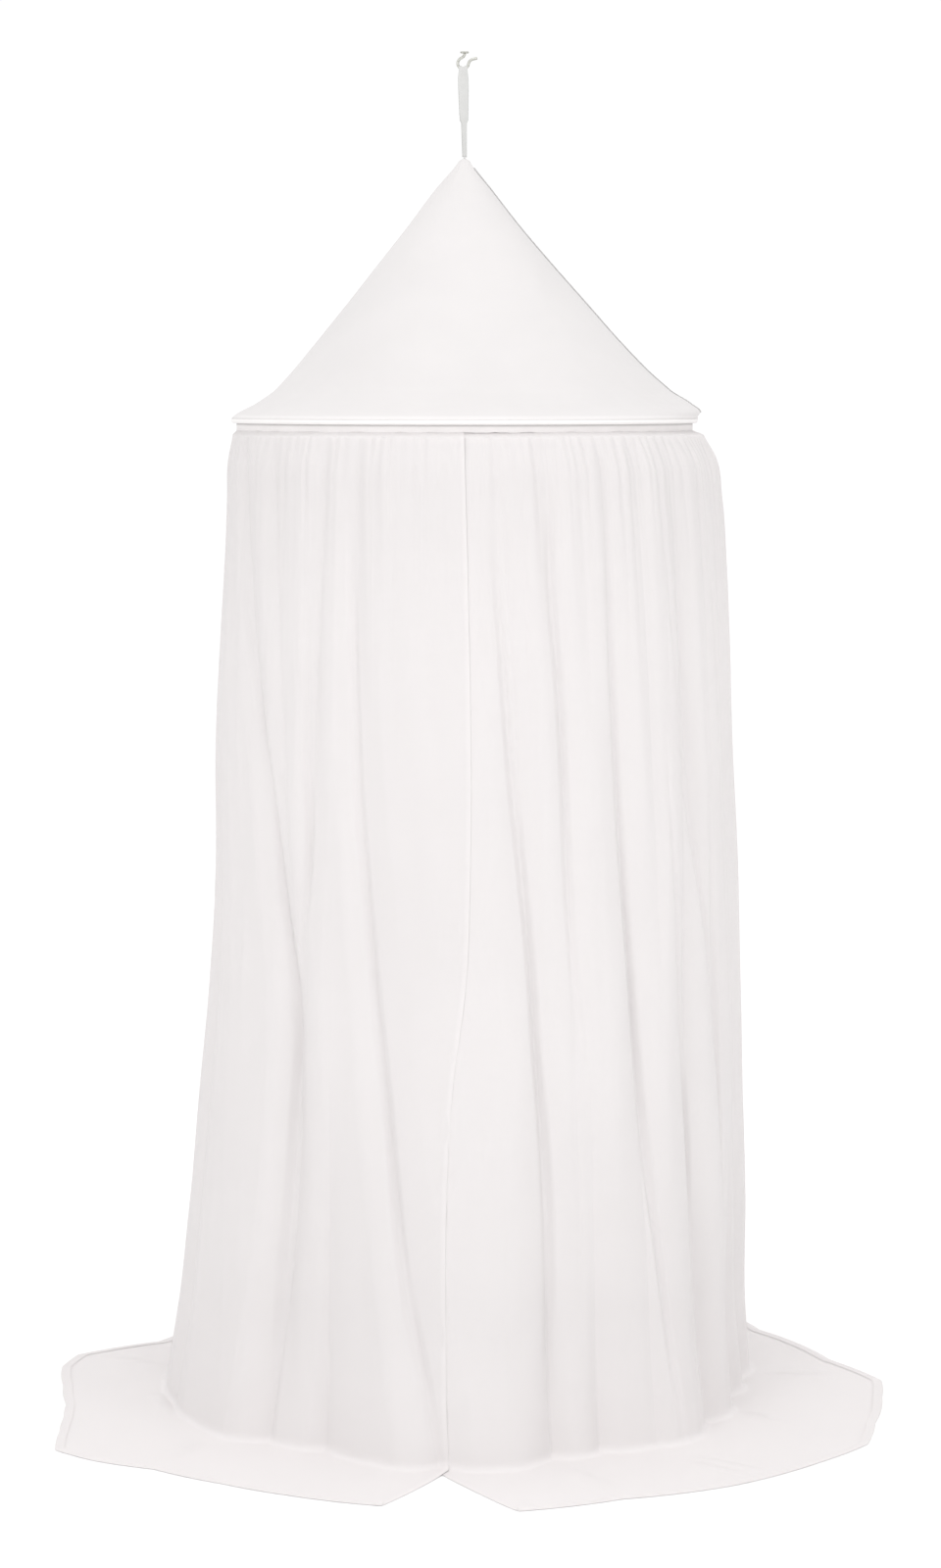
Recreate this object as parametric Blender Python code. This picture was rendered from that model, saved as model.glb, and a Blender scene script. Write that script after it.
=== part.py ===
# Mosquito net canopy: a cone of cloth on a hoop, hung from a ceiling hook by a tape, with a net
# skirt gathered under the hoop. The skirt's last fifth of a metre lies on the floor.
#
# Metres, +Z up. The origin is the middle of the hook's flange, where it meets the ceiling.
# Angles round the canopy are in degrees from the front (-Y), and grow towards the right (+X).

import bpy
import bmesh
from math import cos, exp, radians, sin, tau
from mathutils import Vector

MM = 0.001
WELD = 0.01 * MM

# Heights
ROOM_HEIGHT = 2.400
FLOOR_Z = -ROOM_HEIGHT
HOOP_Z = -0.6445
ROOF_TIP_Z = -0.1840

# Sheets and the gaps between pieces
CLOTH = 1.5 * MM
GAP = 0.3 * MM

# Hoop, the casing folded round it, and the tape that heads the skirt
RIM_DIAMETER = 0.830
CASING_SECTION_RADIUS = 4.9 * MM
CASING_WALL = 1.0 * MM
CASING_SLIT_ANGLE = 50
CASING_STEPS = 7
HOOP_SECTION_RADIUS = 3.4 * MM
HOOP_SECTION_SIDES = 8
HOOP_CENTRE_RADIUS = RIM_DIAMETER / 2 - CASING_SECTION_RADIUS
TAPE_RADIUS = HOOP_CENTRE_RADIUS - CASING_SECTION_RADIUS - GAP - CLOTH / 2
TAPE_TOP_Z = HOOP_Z + 1.5 * MM
TAPE_HEIGHT = 19 * MM
TAPE_FOOT_Z = TAPE_TOP_Z - TAPE_HEIGHT
RIM_SIDES = 40

# Ceiling hook
FLANGE_RADIUS = 8 * MM
FLANGE_THICKNESS = 3 * MM
FLANGE_EDGE = 0.6 * MM
FLANGE_SIDES = 32
WIRE_RADIUS = 2.5 * MM
BOWL_CENTRE = (-2.5 * MM, -20.5 * MM)
BOWL_RADIUS = 9.5 * MM
BOWL_ARC = (150, 355)
BOWL_STEPS = 8
HOOK_NECK = ((0, -2.0 * MM), (0, -5.5 * MM), (-3.0 * MM, -9.5 * MM), (-7.8 * MM, -12.2 * MM))
HOOK_LIP = ((8.5 * MM, -17.5 * MM), (12.5 * MM, -14.0 * MM), (18.0 * MM, -12.2 * MM),
            (22.5 * MM, -11.6 * MM))

# Hanging tape: folded over the hook's bowl, both layers running down to the roof's tip
WEBBING = 1.2 * MM
LOOP_SADDLE_ARC = 104
LOOP_SLACK = 0.2 * MM
LOOP_STEPS_OVER_HOOK = 8
LOOP_COLUMNS = 4
LOOP_ROWS = (
    # z, width across, degrees turned, distance of each ply from the middle, rise of the edges
    (-0.0330, 0.0150, 0, 3.60 * MM, 3.4 * MM),
    (-0.0370, 0.0160, 0, 2.90 * MM, 2.2 * MM),
    (-0.0420, 0.0175, 2, 1.60 * MM, 1.0 * MM),
    (-0.0480, 0.0185, 6, 0.80 * MM, 0.3 * MM),
    (-0.0660, 0.0185, 15, 0.80 * MM, 0.0),
    (-0.0865, 0.0180, 24, 0.80 * MM, 0.0),
    (-0.1070, 0.0172, 29, 0.80 * MM, 0.0),
    (-0.1185, 0.0162, 32, 0.80 * MM, 0.0),
    (-0.1245, 0.0108, 36, 0.80 * MM, 0.0),
    (-0.1420, 0.0104, 38, 0.80 * MM, 0.0),
    (-0.1580, 0.0100, 42, 0.80 * MM, 0.0),
    (-0.1720, 0.0096, 44, 0.80 * MM, 0.0),
    (ROOF_TIP_Z + CLOTH / 2 + GAP, 0.0090, 45, 0.80 * MM, 0.0),
)

# Roof: its one seam runs down the right side and holds the cloth out; elsewhere the cloth sags in
ROOF_SEAM_ANGLE = 88
ROOF_SEAM_SPREAD = 34
ROOF_SIDES = 40
ROOF_ROWS = (
    # z, radius between seams, radius at the seam
    (-0.1850, 0.0050, 0.0050),
    (-0.1990, 0.0160, 0.0140),
    (-0.2400, 0.0520, 0.0470),
    (-0.3020, 0.0990, 0.0960),
    (-0.3710, 0.1540, 0.1560),
    (-0.4390, 0.2080, 0.2170),
    (-0.5080, 0.2640, 0.2780),
    (-0.5600, 0.3070, 0.3280),
    (-0.5950, 0.3400, 0.3680),
    (-0.6170, 0.3730, 0.4030),
    (-0.6310, 0.4010, 0.4180),
    (-0.6390, 0.4125, 0.4130),
)

# Skirt: the outline that its crests reach
SKIRT_COLUMNS = 122
SKIRT_ROWS = (
    # z, radius at the left side, radius at the right side, height of the small gathers
    (TAPE_FOOT_Z - GAP, TAPE_RADIUS, TAPE_RADIUS, 0.0),
    (TAPE_FOOT_Z - 3.5 * MM, TAPE_RADIUS + 0.4 * MM, TAPE_RADIUS + 0.8 * MM, 0.2 * MM),
    (-0.6730, 0.4110, 0.4240, 2.0 * MM),
    (-0.7050, 0.4170, 0.4420, 4.0 * MM),
    (-0.7800, 0.4210, 0.4560, 3.6 * MM),
    (-0.8900, 0.4290, 0.4655, 1.8 * MM),
    (-1.0400, 0.4390, 0.4740, 0.0),
    (-1.2200, 0.4460, 0.4800, 0.0),
    (-1.4300, 0.4475, 0.4905, 0.0),
    (-1.6500, 0.4600, 0.5000, 0.0),
    (-1.8600, 0.4810, 0.5080, 0.0),
    (-2.0700, 0.5030, 0.5155, 0.0),
    (-2.2500, 0.5230, 0.5215, 0.0),
    (-2.3850, 0.5450, 0.5330, 0.0),
)

# The skirt's two ends meet at the front: the left end lies over the right one
END_ROWS = (
    # z, angle of the upper end, angle of the end under it
    (-0.6600, 0.0, -29.0),
    (-0.9000, 0.8, -26.0),
    (-1.3700, 1.3, -21.5),
    (-1.5700, 0.5, -19.3),
    (-1.7700, -2.4, -16.0),
    (-1.9700, -3.5, -13.0),
    (-2.1600, -3.5, -9.8),
    (-2.3100, -3.4, -6.4),
    (-2.3850, -3.4, -4.2),
)
END_PULL = 0.15
LAP_DEPTH_AT_TAPE = 2.4 * MM
LAP_DEPTH = 12.0 * MM
LAP_FADE_IN = 26 * MM
LAP_START_ANGLE = 26
LAP_FULL_ANGLE = 6

# Troughs of the skirt, front ones first, then round the right side to the back and the left.
# They start at nothing under the heading tape and are at full depth FOLD_FADE_IN below it.
FOLD_FADE_IN = 50 * MM
FOLD_SHARPNESS = 1.5
FOLD_HEIGHTS = (-0.66, -1.20, -1.75, -2.385)
FOLD_ROWS = (
    # name, angle at each of the four heights, depth in mm at each, half width at top and foot
    ("front_1", (7.5, 11.2, 15.2, 17.5), (7, 14, 20, 36), (6, 9)),
    ("front_2", (17.5, 21.2, 23.0, 25.0), (8, 13, 7, 0), (5, 6)),
    ("front_bay", (22.0, 24.0, 26.0, 28.0), (0, 0, 4, 46), (10, 17)),
    ("front_3", (32.5, 34.3, 37.6, 39.5), (8, 14, 18, 8), (6, 7)),
    ("front_4", (41.0, 42.6, 44.0, 45.0), (8, 6, 0, 0), (5, 5)),
    ("right_1", (51.5, 56.0, 64.0, 70.0), (8, 14, 8, 0), (5, 7)),
    ("right_2", (55.0, 54.4, 52.2, 58.0), (0, 9, 22, 38), (5, 9)),
    ("right_bay", (70.0, 72.0, 74.0, 76.0), (0, 0, 6, 50), (12, 19)),
    ("right_3", (74.0, 76.0, 79.0, 90.0), (8, 10, 14, 34), (6, 8)),
    ("right_4", (95.0, 99.0, 108.0, 113.0), (7, 14, 20, 30), (7, 10)),
    ("back_1", (116.0, 121.0, 128.0, 131.0), (9, 16, 22, 34), (7, 10)),
    ("back_2", (133.0, 138.0, 143.0, 149.0), (6, 10, 18, 26), (6, 9)),
    ("back_3", (151.0, 155.0, 163.0, 167.0), (9, 18, 26, 38), (8, 11)),
    ("back_4", (172.0, 173.0, 177.0, 180.0), (7, 9, 5, 0), (6, 7)),
    ("back_5", (188.0, 188.0, 189.0, 191.0), (9, 17, 24, 36), (7, 11)),
    ("back_6", (206.0, 205.0, 208.0, 212.0), (6, 12, 18, 28), (6, 9)),
    ("back_7", (223.0, 223.0, 227.0, 229.0), (9, 16, 14, 10), (7, 8)),
    ("back_8", (240.0, 239.0, 241.0, 243.0), (7, 13, 22, 36), (7, 10)),
    ("left_1", (256.0, 257.0, 258.0, 259.0), (8, 12, 16, 24), (6, 8)),
    ("left_2", (274.0, 279.0, 284.0, 287.0), (7, 12, 14, 10), (6, 7)),
    ("left_3", (293.0, 308.5, 321.5, 318.0), (8, 15, 22, 34), (6, 9)),
    ("left_4", (309.0, 316.0, 320.0, 322.0), (7, 8, 2, 0), (5, 5)),
    ("left_5", (327.0, 325.0, 321.5, 320.0), (8, 12, 6, 0), (5, 6)),
    ("left_bay", (330.0, 330.0, 331.0, 331.0), (0, 0, 6, 60), (12, 20)),
    ("left_6", (334.5, 337.0, 343.5, 355.0), (5, 8, 10, 20), (5, 8)),
)

# Hem on the floor: a row for each bend of its outline
HEM_ROWS = (
    # angle, radius
    (-10.7, 0.728),
    (-24.0, 0.722),
    (-34.0, 0.724),
    (-45.0, 0.741),
    (-52.8, 0.790),
    (-59.0, 0.815),
    (-66.0, 0.778),
    (-78.0, 0.731),
    (-97.0, 0.756),
    (-103.0, 0.750),
    (-114.0, 0.640),
    (-135.0, 0.705),
    (-158.0, 0.690),
    (-180.0, 0.722),
    (-201.0, 0.684),
    (-222.0, 0.712),
    (-239.0, 0.665),
    (-259.0, 0.699),
    (-270.0, 0.766),
    (-278.0, 0.762),
    (-290.0, 0.770),
    (-299.0, 0.796),
    (-309.0, 0.775),
    (-324.0, 0.757),
    (-339.0, 0.729),
    (-353.2, 0.748),
)
UPPER_END_FLOOR_ANGLES = (-4.2, -7.4, -10.7)
UNDER_END_FLOOR_ANGLES = (-3.9, 1.5, 6.8)
FOOT_BEND = 10 * MM

FABRIC_WHITE = (0.900, 0.893, 0.885, 1)
NET_WHITE = (0.860, 0.850, 0.848, 1)
TAPE_WHITE = (0.760, 0.760, 0.750, 1)
STEEL_GREY = (0.560, 0.560, 0.540, 1)
ROD_GREY = (0.620, 0.620, 0.600, 1)
SHARP_ANGLE = 35


def clear_scene():
    for obj in list(bpy.data.objects):
        bpy.data.objects.remove(obj, do_unlink=True)


def make_material(name, colour, roughness, metallic=0.0):
    material = bpy.data.materials.new(name)
    material.use_nodes = True
    shader = material.node_tree.nodes["Principled BSDF"]
    shader.inputs["Base Color"].default_value = colour
    shader.inputs["Roughness"].default_value = roughness
    shader.inputs["Metallic"].default_value = metallic
    return material


def add_object(name, mesh, material):
    obj = bpy.data.objects.new(name, mesh)
    bpy.context.collection.objects.link(obj)
    if material:
        mesh.materials.append(material)
    mesh.shade_smooth()
    mesh.set_sharp_from_angle(angle=radians(SHARP_ANGLE))
    return obj


def mesh_from_bmesh(name, form):
    mesh = bpy.data.meshes.new(name)
    form.to_mesh(mesh)
    form.free()
    return mesh


def thicken(obj, thickness):
    """Gives a sheet its thickness, half to each side."""
    solidify = obj.modifiers.new("thickness", "SOLIDIFY")
    solidify.thickness = thickness
    solidify.offset = 0
    solidify.use_even_offset = True


def sheet_mesh(name, rows, closed=False, tip=None):
    """Makes quads between rows of points, joined end to end if closed, with an optional tip."""
    form = bmesh.new()
    grid = [[form.verts.new(point) for point in row] for row in rows]
    columns = len(rows[0])
    last = columns if closed else columns - 1
    for upper, lower in zip(grid, grid[1:]):
        for i in range(last):
            j = (i + 1) % columns
            form.faces.new((upper[i], lower[i], lower[j], upper[j]))
    if tip:
        point = form.verts.new(tip)
        for i in range(last):
            form.faces.new((point, grid[0][i], grid[0][(i + 1) % columns]))
    bmesh.ops.recalc_face_normals(form, faces=form.faces)
    return mesh_from_bmesh(name, form)


def turned_mesh(name, outline, sides):
    """Turns a closed outline of (radius, z) points once round the Z axis."""
    form = bmesh.new()
    points = [form.verts.new((r, 0, z)) for r, z in outline]
    edges = [form.edges.new((a, b)) for a, b in zip(points, points[1:] + points[:1])]
    bmesh.ops.spin(form, geom=points + edges, cent=(0, 0, 0), axis=(0, 0, 1), angle=tau,
                   steps=sides, use_merge=True, use_duplicate=False)
    bmesh.ops.remove_doubles(form, verts=form.verts, dist=WELD)
    bmesh.ops.recalc_face_normals(form, faces=form.faces)
    return mesh_from_bmesh(name, form)


def around(angle, radius, z):
    """A point at an angle from the front."""
    return Vector((radius * sin(radians(angle)), -radius * cos(radians(angle)), z))


def read_table(rows, at, column):
    """Straight-line value of a column, where the first column runs down or up in order."""
    ordered = rows if rows[0][0] < rows[-1][0] else rows[::-1]
    if at <= ordered[0][0]:
        return ordered[0][column]
    for low, high in zip(ordered, ordered[1:]):
        if at <= high[0]:
            share = (at - low[0]) / (high[0] - low[0])
            return low[column] + share * (high[column] - low[column])
    return ordered[-1][column]


def ease(value):
    value = min(max(value, 0.0), 1.0)
    return value * value * (3 - 2 * value)


def turn_between(angle, other):
    """The shorter turn from one angle to another, in degrees."""
    return (angle - other + 180) % 360 - 180


def smooth_path(points, steps):
    """Catmull-Rom curve through the points."""
    route = []
    ends = [points[0] * 2 - points[1]] + points + [points[-1] * 2 - points[-2]]
    for a, b, c, d in zip(ends, ends[1:], ends[2:], ends[3:]):
        for i in range(steps):
            t = i / steps
            route.append(0.5 * (2 * b + (c - a) * t + (2 * a - 5 * b + 4 * c - d) * t ** 2
                                + (3 * b - a - 3 * c + d) * t ** 3))
    return route + [points[-1]]


def hook_path():
    """The bent wire's centre line, in the plane that faces the front."""
    first, last = BOWL_ARC
    centre_x, centre_z = BOWL_CENTRE
    bowl = []
    for i in range(BOWL_STEPS + 1):
        turn = radians(first + (last - first) * i / BOWL_STEPS)
        bowl.append((centre_x + BOWL_RADIUS * cos(turn), centre_z + BOWL_RADIUS * sin(turn)))
    points = [Vector((x, 0, z)) for x, z in (*HOOK_NECK, *bowl, *HOOK_LIP)]
    return smooth_path(points, 2)


def make_ceiling_hook(material):
    route = hook_path()
    curve = bpy.data.curves.new("hook_wire", "CURVE")
    curve.dimensions = "3D"
    curve.bevel_depth = WIRE_RADIUS
    curve.bevel_resolution = 3
    curve.use_fill_caps = True
    spline = curve.splines.new("POLY")
    spline.points.add(len(route) - 1)
    for spline_point, point in zip(spline.points, route):
        spline_point.co = (*point, 1)
    bent = bpy.data.objects.new("hook_wire_curve", curve)
    bpy.context.collection.objects.link(bent)
    bpy.context.view_layer.update()
    depsgraph = bpy.context.evaluated_depsgraph_get()
    wire_mesh = bpy.data.meshes.new_from_object(bent.evaluated_get(depsgraph))
    bpy.data.objects.remove(bent, do_unlink=True)
    form = bmesh.new()
    form.from_mesh(wire_mesh)
    bmesh.ops.remove_doubles(form, verts=form.verts, dist=WELD)
    bmesh.ops.recalc_face_normals(form, faces=form.faces)
    form.to_mesh(wire_mesh)
    form.free()
    wire = add_object("hook_wire_guide", wire_mesh, None)
    wire.hide_render = True
    wire.display_type = "WIRE"

    form = bmesh.new()
    bmesh.ops.create_cone(form, cap_ends=True, segments=FLANGE_SIDES, radius1=FLANGE_RADIUS,
                          radius2=FLANGE_RADIUS, depth=FLANGE_THICKNESS)
    bmesh.ops.translate(form, verts=form.verts, vec=(0, 0, -FLANGE_THICKNESS / 2))
    lower_rim = [e for e in form.edges if all(v.co.z < -FLANGE_THICKNESS / 2 for v in e.verts)]
    bmesh.ops.bevel(form, geom=lower_rim, offset=FLANGE_EDGE, segments=2, affect="EDGES", profile=0.5)
    hook = add_object("ceiling_hook", mesh_from_bmesh("ceiling_hook", form), material)
    union = hook.modifiers.new("wire", "BOOLEAN")
    union.operation = "UNION"
    union.solver = "EXACT"
    union.object = wire
    return hook


def loop_section(row, side):
    """One cross row of the hanging tape, on the front ply (-1) or the back ply (1)."""
    z, width, turn, splay, curl = row
    tip_z, saddle_z = LOOP_ROWS[-1][0], LOOP_ROWS[0][0]
    centre_x = BOWL_CENTRE[0] * (z - tip_z) / (saddle_z - tip_z)
    across = Vector((cos(radians(turn)), sin(radians(turn)), 0))
    outward = Vector((-across.y, across.x, 0))
    section = []
    for i in range(LOOP_COLUMNS + 1):
        share = 2 * i / LOOP_COLUMNS - 1
        centre = Vector((centre_x, 0, z + curl * share ** 2))
        section.append(centre + across * (width / 2 * share) + outward * (side * splay))
    return section


def saddle_section(lean):
    """One cross row of the tape where it rides over the wire; lean runs from -90 to 90 degrees."""
    reach = WIRE_RADIUS + GAP + WEBBING / 2 + LOOP_SLACK
    section = []
    for i in range(LOOP_COLUMNS + 1):
        share = 2 * i / LOOP_COLUMNS - 1
        turn = radians(270 + share * LOOP_SADDLE_ARC / 2)
        from_centre = BOWL_RADIUS - reach * cos(radians(lean))
        section.append(Vector((BOWL_CENTRE[0] + from_centre * cos(turn), reach * sin(radians(lean)),
                               BOWL_CENTRE[1] + from_centre * sin(turn))))
    return section


def make_hanging_loop(material):
    rows = [loop_section(row, -1) for row in LOOP_ROWS[::-1]]
    for i in range(LOOP_STEPS_OVER_HOOK + 1):
        rows.append(saddle_section(-90 + 180 * i / LOOP_STEPS_OVER_HOOK))
    rows += [loop_section(row, 1) for row in LOOP_ROWS]
    loop = add_object("hanging_loop", sheet_mesh("hanging_loop", rows), material)
    thicken(loop, WEBBING)
    return loop


def make_roof(material):
    rows = []
    for z, plain, at_seam in ROOF_ROWS:
        row = []
        for i in range(ROOF_SIDES):
            angle = 360 * i / ROOF_SIDES
            near_seam = exp(-(turn_between(angle, ROOF_SEAM_ANGLE) / ROOF_SEAM_SPREAD) ** 2)
            row.append(around(angle, plain + (at_seam - plain) * near_seam, z))
        rows.append(row)
    mesh = sheet_mesh("roof_cloth", rows, closed=True, tip=(0, 0, ROOF_TIP_Z))
    roof = add_object("roof_cloth", mesh, material)
    thicken(roof, CLOTH)
    return roof


def make_hoop(material):
    turns = [tau * i / HOOP_SECTION_SIDES for i in range(HOOP_SECTION_SIDES)]
    outline = [(HOOP_CENTRE_RADIUS + HOOP_SECTION_RADIUS * cos(turn),
                HOOP_Z + HOOP_SECTION_RADIUS * sin(turn)) for turn in turns]
    return add_object("hoop", turned_mesh("hoop", outline, RIM_SIDES), material)


def make_rim_casing(material):
    """The strip folded round the hoop; its two edges face the canopy's inside."""
    first = -180 + CASING_SLIT_ANGLE / 2
    sweep = 360 - CASING_SLIT_ANGLE
    turns = [radians(first + sweep * i / CASING_STEPS) for i in range(CASING_STEPS + 1)]
    outer = CASING_SECTION_RADIUS
    inner = CASING_SECTION_RADIUS - CASING_WALL
    outline = [(HOOP_CENTRE_RADIUS + outer * cos(t), HOOP_Z + outer * sin(t)) for t in turns]
    outline += [(HOOP_CENTRE_RADIUS + inner * cos(t), HOOP_Z + inner * sin(t)) for t in turns[::-1]]
    return add_object("rim_casing", turned_mesh("rim_casing", outline, RIM_SIDES), material)


def make_heading_tape(material):
    inner = TAPE_RADIUS - CLOTH / 2
    outer = TAPE_RADIUS + CLOTH / 2
    outline = [(inner, TAPE_TOP_Z), (outer, TAPE_TOP_Z), (outer, TAPE_FOOT_Z), (inner, TAPE_FOOT_Z)]
    return add_object("heading_tape", turned_mesh("heading_tape", outline, RIM_SIDES), material)


def fold_depth(angle, z):
    """How far all the troughs together draw the cloth in at a place."""
    top, foot = FOLD_HEIGHTS[0], FOLD_HEIGHTS[-1]
    down = (z - top) / (foot - top)
    depth = 0.0
    for _, angles, depths, widths in FOLD_ROWS:
        steps = list(zip(FOLD_HEIGHTS, angles, depths))
        width = widths[0] + (widths[1] - widths[0]) * down
        away = abs(turn_between(angle, read_table(steps, z, 1))) / width
        if away < 1:
            depth += read_table(steps, z, 2) * MM * (1 - away) ** FOLD_SHARPNESS
    return depth


def skirt_angle(share, upper_end, under_end):
    """Angle of a column: the ends are pulled to their own angles, the rest hangs almost straight."""
    first, last = END_ROWS[0][1], END_ROWS[0][2] - 360
    plain = first + (last - first) * share
    pull = (upper_end - first) * exp(-share / END_PULL)
    return plain + pull + (under_end - 360 - last) * exp((share - 1) / END_PULL)


def wall_radius(angle, z, column):
    """Radius of the hanging part at a place, its crests on the outline of SKIRT_ROWS."""
    to_right = (1 + sin(radians(angle))) / 2
    crest = read_table(SKIRT_ROWS, z, 1) * (1 - to_right) + read_table(SKIRT_ROWS, z, 2) * to_right
    fade_in = ease((SKIRT_ROWS[0][0] - z) / FOLD_FADE_IN)
    gather = read_table(SKIRT_ROWS, z, 3) * (-1) ** column
    lap = ease((LAP_START_ANGLE - 360 - angle) / (LAP_START_ANGLE - LAP_FULL_ANGLE))
    parted = ease((SKIRT_ROWS[0][0] - z) / LAP_FADE_IN)
    lap_depth = LAP_DEPTH_AT_TAPE + (LAP_DEPTH - LAP_DEPTH_AT_TAPE) * parted
    return crest - fold_depth(angle, z) * fade_in + gather - lap * lap_depth


def make_skirt(material):
    rows = []
    shares = [i / SKIRT_COLUMNS for i in range(SKIRT_COLUMNS + 1)]
    for z, *_ in SKIRT_ROWS:
        ends = read_table(END_ROWS, z, 1), read_table(END_ROWS, z, 2)
        angles = [skirt_angle(share, *ends) for share in shares]
        rows.append([around(a, wall_radius(a, z, i), z) for i, a in enumerate(angles)])
    foot_z = SKIRT_ROWS[-1][0]
    lying_z = FLOOR_Z + CLOTH / 2
    lying_rows = zip(UPPER_END_FLOOR_ANGLES, UNDER_END_FLOOR_ANGLES)
    for step, (upper_end, under_end) in enumerate(lying_rows):
        out = step / (len(UPPER_END_FLOOR_ANGLES) - 1)
        row = []
        for share in shares:
            angle = skirt_angle(share, upper_end, under_end)
            foot_ends = read_table(END_ROWS, foot_z, 1), read_table(END_ROWS, foot_z, 2)
            foot = wall_radius(skirt_angle(share, *foot_ends), foot_z, 0) + FOOT_BEND
            hem = read_table(HEM_ROWS, angle, 1)
            row.append(around(angle, foot + (hem - foot) * out, lying_z))
        rows.append(row)
    skirt = add_object("net_skirt", sheet_mesh("net_skirt", rows), material)
    thicken(skirt, CLOTH)
    return skirt


def main():
    clear_scene()
    fabric = make_material("roof_fabric", FABRIC_WHITE, 0.80)
    casing_fabric = make_material("casing_fabric", FABRIC_WHITE, 0.75)
    net = make_material("net", NET_WHITE, 0.85)
    tape = make_material("cotton_tape", FABRIC_WHITE, 0.85)
    webbing = make_material("webbing", TAPE_WHITE, 0.80)
    hook_steel = make_material("hook_steel", STEEL_GREY, 0.35, 1.0)
    rod = make_material("hoop_rod", ROD_GREY, 0.45)
    make_ceiling_hook(hook_steel)
    make_hanging_loop(webbing)
    make_roof(fabric)
    make_rim_casing(casing_fabric)
    make_hoop(rod)
    make_heading_tape(tape)
    make_skirt(net)


main()
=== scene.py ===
# Mosquito net canopy: the looks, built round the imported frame.
# Metres, +Z up, the ceiling at z = 0. Angles run round the canopy in degrees from the front, to the right.

from math import cos, pi, radians, sin

import bmesh
import bpy
import numpy as np
from mathutils import Matrix, Vector


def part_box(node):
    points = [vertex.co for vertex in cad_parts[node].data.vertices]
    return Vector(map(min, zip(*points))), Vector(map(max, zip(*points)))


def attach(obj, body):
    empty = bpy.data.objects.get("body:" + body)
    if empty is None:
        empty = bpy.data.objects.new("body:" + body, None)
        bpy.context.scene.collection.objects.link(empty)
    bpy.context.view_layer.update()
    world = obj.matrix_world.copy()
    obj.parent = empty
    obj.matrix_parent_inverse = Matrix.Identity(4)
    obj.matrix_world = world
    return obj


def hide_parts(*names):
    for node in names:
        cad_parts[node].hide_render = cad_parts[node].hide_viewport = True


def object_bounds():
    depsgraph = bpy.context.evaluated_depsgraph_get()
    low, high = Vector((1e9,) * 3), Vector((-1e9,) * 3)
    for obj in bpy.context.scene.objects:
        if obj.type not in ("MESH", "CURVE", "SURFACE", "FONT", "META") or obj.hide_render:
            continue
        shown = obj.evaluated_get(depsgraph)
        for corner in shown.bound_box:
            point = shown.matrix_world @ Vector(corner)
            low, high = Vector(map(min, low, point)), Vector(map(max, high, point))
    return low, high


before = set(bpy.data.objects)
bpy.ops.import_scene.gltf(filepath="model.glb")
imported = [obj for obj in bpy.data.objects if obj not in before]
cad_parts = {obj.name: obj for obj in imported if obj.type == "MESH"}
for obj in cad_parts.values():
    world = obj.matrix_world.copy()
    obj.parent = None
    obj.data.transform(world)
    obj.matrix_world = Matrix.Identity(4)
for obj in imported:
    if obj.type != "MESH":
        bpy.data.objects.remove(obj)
cadLow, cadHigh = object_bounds()
mm = 0.001

casingLow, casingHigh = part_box("rim_casing")
tapeLow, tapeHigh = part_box("heading_tape")
rimZ = (casingLow.z + casingHigh.z) / 2
casingRadius = (casingHigh.z - casingLow.z) / 2
hoopRadius = casingHigh.x - casingRadius
tapeRadius = tapeHigh.x
tapeFootZ = tapeLow.z
floorZ = cadLow.z
print("frame loaded:", len(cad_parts), "nodes, hoop", round(hoopRadius, 4), "rim at", round(rimZ, 4))


# Shape helpers

def between(first, last, share):
    return first + (last - first) * share


# A soft rise from 0 to 1 that begins at start and takes up reach
def easeIn(value, start=0.0, reach=1.0):
    value = np.clip((value - start) / reach, 0, 1)
    return value * value * (3 - 2 * value)


# 1 in the middle, fading softly to both sides
def bell(away):
    return np.exp(-away ** 2)


# 1 in the middle, down to 0 one width away
def trough(away, sharpness):
    return np.clip(1 - away, 0, 1) ** sharpness


# A wave that runs count times round the canopy
def ripple(angle, count, shift=0.0):
    return np.sin(np.radians(angle) * count + shift)


# How many widths an angle lies from a middle one
def awayFrom(angle, middle, width):
    return np.abs((angle - middle + 180) % 360 - 180) / width


def placeAround(angle, radius, z):
    turn = np.radians(angle)
    return np.stack([radius * np.sin(turn), -radius * np.cos(turn), z + 0 * turn], axis=-1)


# Length along a line of places, from its start to each of them
def lengthAlong(places):
    return np.concatenate([[0], np.cumsum(np.linalg.norm(np.diff(places, axis=0), axis=1))])


# A soft curve through a table whose places grow
def smoothTable(at, places, values):
    places = np.asarray(places, float)
    values = np.asarray(values, float)
    slopes = np.gradient(values, places)
    at = np.clip(at, places[0], places[-1])
    left = np.clip(np.searchsorted(places, at, side="right") - 1, 0, len(places) - 2)
    width = places[left + 1] - places[left]
    t = (at - places[left]) / width
    start = values[left] * (1 + 2 * t) * (1 - t) ** 2 + slopes[left] * width * t * (1 - t) ** 2
    end = values[left + 1] * t * t * (3 - 2 * t) + slopes[left + 1] * width * t * t * (t - 1)
    return start + end


def column(rows, index):
    return [row[index] for row in rows]


# The same for a table whose rows start with their heights, from the top down
def smoothByHeight(z, rows, index):
    return smoothTable(z, column(rows, 0)[::-1], column(rows, index)[::-1])


def meshFrom(name, bm):
    mesh = bpy.data.meshes.new(name)
    bm.to_mesh(mesh)
    bm.free()
    return mesh


def addObject(name, data):
    made = bpy.data.objects.new(name, data)
    bpy.context.scene.collection.objects.link(made)
    return made


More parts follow.
